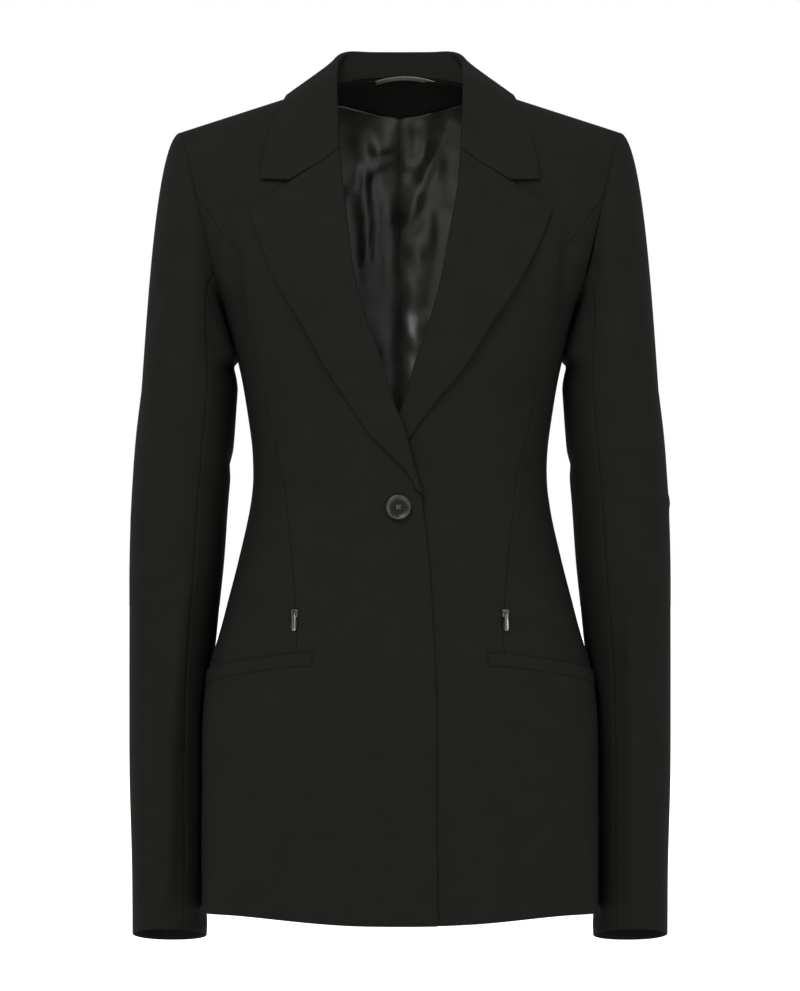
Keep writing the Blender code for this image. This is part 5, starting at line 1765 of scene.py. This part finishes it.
# %% [markdown]
# ## Zips in the front seams
# Each front seam hides a zip. What shows is a dark slit with its coil deep inside, a small slider
# at the lower end and a polished drop that hangs from it. The coil is a row of small wire rings,
# and Geometry Nodes set one at each pitch along the seam.

# %% The zip's coil by Geometry Nodes
COIL_TOP_Z, COIL_LOW_Z = -0.262, -0.464
COIL_PITCH, COIL_RADIUS, COIL_WIRE = 0.0011, 0.00055, 0.00022
COIL_DEPTH = 0.0025


def coil_tree():
    """Rings along a curve. Inputs: the pitch, the ring's radius and the wire's radius."""
    tree = bpy.data.node_groups.new("zip coil", "GeometryNodeTree")
    tree.interface.new_socket("Geometry", in_out="INPUT", socket_type="NodeSocketGeometry")
    sizes = (("Pitch", COIL_PITCH), ("Ring Radius", COIL_RADIUS), ("Wire Radius", COIL_WIRE))
    for title, size in sizes:
        socket = tree.interface.new_socket(title, in_out="INPUT", socket_type="NodeSocketFloat")
        socket.default_value = size
    tree.interface.new_socket("Geometry", in_out="OUTPUT", socket_type="NodeSocketGeometry")
    nodes, links = tree.nodes, tree.links
    given = nodes.new("NodeGroupInput")
    ended = nodes.new("NodeGroupOutput")
    spaced = nodes.new("GeometryNodeResampleCurve")
    spaced.mode = "LENGTH"
    ring = nodes.new("GeometryNodeCurvePrimitiveCircle")
    ring.inputs["Resolution"].default_value = 8
    wire = nodes.new("GeometryNodeCurvePrimitiveCircle")
    wire.inputs["Resolution"].default_value = 4
    swept = nodes.new("GeometryNodeCurveToMesh")
    placed = nodes.new("GeometryNodeInstanceOnPoints")
    tangent = nodes.new("GeometryNodeInputTangent")
    turned = nodes.new("FunctionNodeAlignRotationToVector")
    turned.axis = "Z"
    real = nodes.new("GeometryNodeRealizeInstances")
    painted = nodes.new("GeometryNodeSetMaterial")
    painted.inputs["Material"].default_value = coil_thread
    links.new(given.outputs["Geometry"], spaced.inputs["Curve"])
    links.new(given.outputs["Pitch"], spaced.inputs["Length"])
    links.new(given.outputs["Ring Radius"], ring.inputs["Radius"])
    links.new(given.outputs["Wire Radius"], wire.inputs["Radius"])
    links.new(ring.outputs["Curve"], swept.inputs["Curve"])
    links.new(wire.outputs["Curve"], swept.inputs["Profile Curve"])
    links.new(spaced.outputs["Curve"], placed.inputs["Points"])
    links.new(swept.outputs["Mesh"], placed.inputs["Instance"])
    links.new(tangent.outputs["Tangent"], turned.inputs["Vector"])
    links.new(turned.outputs["Rotation"], placed.inputs["Rotation"])
    links.new(placed.outputs["Instances"], real.inputs["Geometry"])
    links.new(real.outputs["Geometry"], painted.inputs["Geometry"])
    links.new(painted.outputs["Geometry"], ended.inputs["Geometry"])
    return tree


COIL_TREE = coil_tree()


def seam_route(side, low, high, out, count):
    """Points along the front seam between two heights, this far out from the cloth."""
    route = []
    for z in steps((low, high, count)):
        rise = (z - CHEST_Z) / (CHEST_Z - HEM_Z)
        angle = SEAM(rise)
        point = on_torso(angle, rise, out, side)
        route.append((point.x * side, point.y, point.z))
    return route


def sewn_coil(side, suffix):
    curve = bpy.data.curves.new(f"zip_coil_{suffix}", "CURVE")
    curve.dimensions = "3D"
    route = seam_route(side, COIL_LOW_Z, COIL_TOP_Z, -COIL_DEPTH, 60)
    spline = curve.splines.new("POLY")
    spline.points.add(len(route) - 1)
    for point, place in zip(spline.points, route):
        point.co = (*place, 1.0)
    made = draft(f"zip_coil_{suffix}", curve)
    modifier = made.modifiers.new("coil", "NODES")
    modifier.node_group = COIL_TREE
    coil = finished(f"zip_coil_{suffix}", made, Matrix(), coil_thread, 60)
    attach(coil, "jacket")
    print(coil.name, "has", len(coil.data.polygons), "faces")


for wearer_side, suffix in ((-1, "r"), (1, "l")):
    sewn_coil(wearer_side, suffix)

# %% Sliders and pulls
ZIP_X, ZIP_Z, ZIP_SEAT = 0.0912, -0.4665, 0.0003
SLIDER_SIZE, SLIDER_PLACE, SLIDER_ROUND = (0.0056, 0.0070, 0.0014), (0.0, -0.0012, 0.0007), 0.0005
EAR_SIZE, EAR_ROUND = (0.0009, 0.0022, 0.0033), 0.0003
PIN_HEIGHT, PIN_RADIUS, PIN_LENGTH = 0.0027, 0.0006, 0.0044
EAR_SPACING, EAR_HEIGHT = 0.0019, 0.00165
BARREL_RADIUS, BARREL_LENGTH, BORE_RADIUS = 0.0012, 0.0026, 0.00078
PULL_LENGTH, PULL_WIDTH, PULL_THICKNESS = 0.0165, 0.0058, 0.0018
PULL_TILT = 6.0
# share of the length, half width as a share of the widest
PULL_OUTLINE = Curve(
    (
        (0.00, 0.30),
        (0.12, 0.30),
        (0.25, 0.50),
        (0.45, 0.86),
        (0.70, 1.00),
        (0.90, 0.84),
        (1.00, 0.36),
    )
)


def rounded_box(name, size, centre, radius, segments=4):
    bm = bmesh.new()
    bmesh.ops.create_cube(bm, size=1.0)
    bmesh.ops.scale(bm, vec=size, verts=bm.verts)
    bmesh.ops.bevel(
        bm,
        geom=bm.edges[:],
        offset=radius,
        segments=segments,
        affect="EDGES",
        profile=0.5,
        clamp_overlap=True,
    )
    bmesh.ops.translate(bm, vec=centre, verts=bm.verts)
    mesh = bpy.data.meshes.new(name)
    bm.to_mesh(mesh)
    bm.free()
    return draft(name, mesh)


def pull_drop(name):
    """The pull's plate: a long drop, domed on both faces, hanging from the pin."""
    length_steps, ring_steps = 40, 28
    bm = bmesh.new()
    uv_layer = bm.loops.layers.uv.new("cut")
    rings = []
    for index in range(length_steps + 1):
        share = index / length_steps
        half = max(PULL_OUTLINE(share), 0.05) * PULL_WIDTH / 2
        thick = PULL_THICKNESS / 2 * min(1.0, 0.35 + PULL_OUTLINE(share))
        down = -share * PULL_LENGTH
        ring = []
        for turn in range(ring_steps):
            angle = 2 * math.pi * turn / ring_steps
            ring.append(bm.verts.new((half * math.cos(angle), down, thick * math.sin(angle))))
        rings.append(ring)
    for upper, lower in zip(rings, rings[1:]):
        for turn in range(ring_steps):
            after = (turn + 1) % ring_steps
            bm.faces.new((upper[turn], upper[after], lower[after], lower[turn]))
    bm.faces.new(rings[0][::-1])
    bm.faces.new(rings[-1])
    bmesh.ops.recalc_face_normals(bm, faces=bm.faces)
    for face in bm.faces:
        for loop in face.loops:
            place = loop.vert.co
            loop[uv_layer].uv = (place.x / (PULL_WIDTH / 2), -place.y / PULL_LENGTH)
    mesh = bpy.data.meshes.new(name)
    bm.to_mesh(mesh)
    bm.free()
    return draft(name, mesh)


def fitted_zip(side, suffix):
    frame_here = seat_frame(side, ZIP_X, ZIP_Z, ZIP_SEAT)
    slider = rounded_box("slider", SLIDER_SIZE, SLIDER_PLACE, SLIDER_ROUND)
    helpers = []
    for end in (-1, 1):
        ear = rounded_box("ear", EAR_SIZE, (end * EAR_SPACING, 0.0, EAR_HEIGHT), EAR_ROUND)
        helpers.append(boolean(slider, ear, "UNION"))
    pin = rod("pin", PIN_RADIUS, PIN_LENGTH, (0.0, 0.0, PIN_HEIGHT), "X")
    helpers.append(boolean(slider, pin, "UNION"))
    made = finished(f"slider_{suffix}", slider, frame_here, zip_metal)
    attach(made, "jacket")
    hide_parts(f"zip_slider_{suffix}")

    hinge = frame_here @ Matrix.Translation((0.0, 0.0, PIN_HEIGHT))
    hinge = hinge @ Matrix.Rotation(math.radians(PULL_TILT), 4, "X")
    drop = pull_drop("drop")
    barrel = rod("barrel", BARREL_RADIUS, BARREL_LENGTH, (0, 0, 0), "X")
    helpers.append(boolean(drop, barrel, "UNION"))
    bore = rod("bore", BORE_RADIUS, CUTTER_LENGTH, (0, 0, 0), "X")
    helpers.append(boolean(drop, bore, "DIFFERENCE"))
    pull = finished(f"pull_{suffix}", drop, hinge, pull_metal, 40)
    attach(pull, f"pull_{suffix}")
    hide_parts(f"zip_pull_{suffix}")
    for helper in helpers:
        bpy.data.objects.remove(helper)
    counts = [len(piece.data.polygons) for piece in (made, pull)]
    print(made.name, "and", pull.name, "have", *counts, "faces")


for wearer_side, suffix in ((-1, "r"), (1, "l")):
    fitted_zip(wearer_side, suffix)
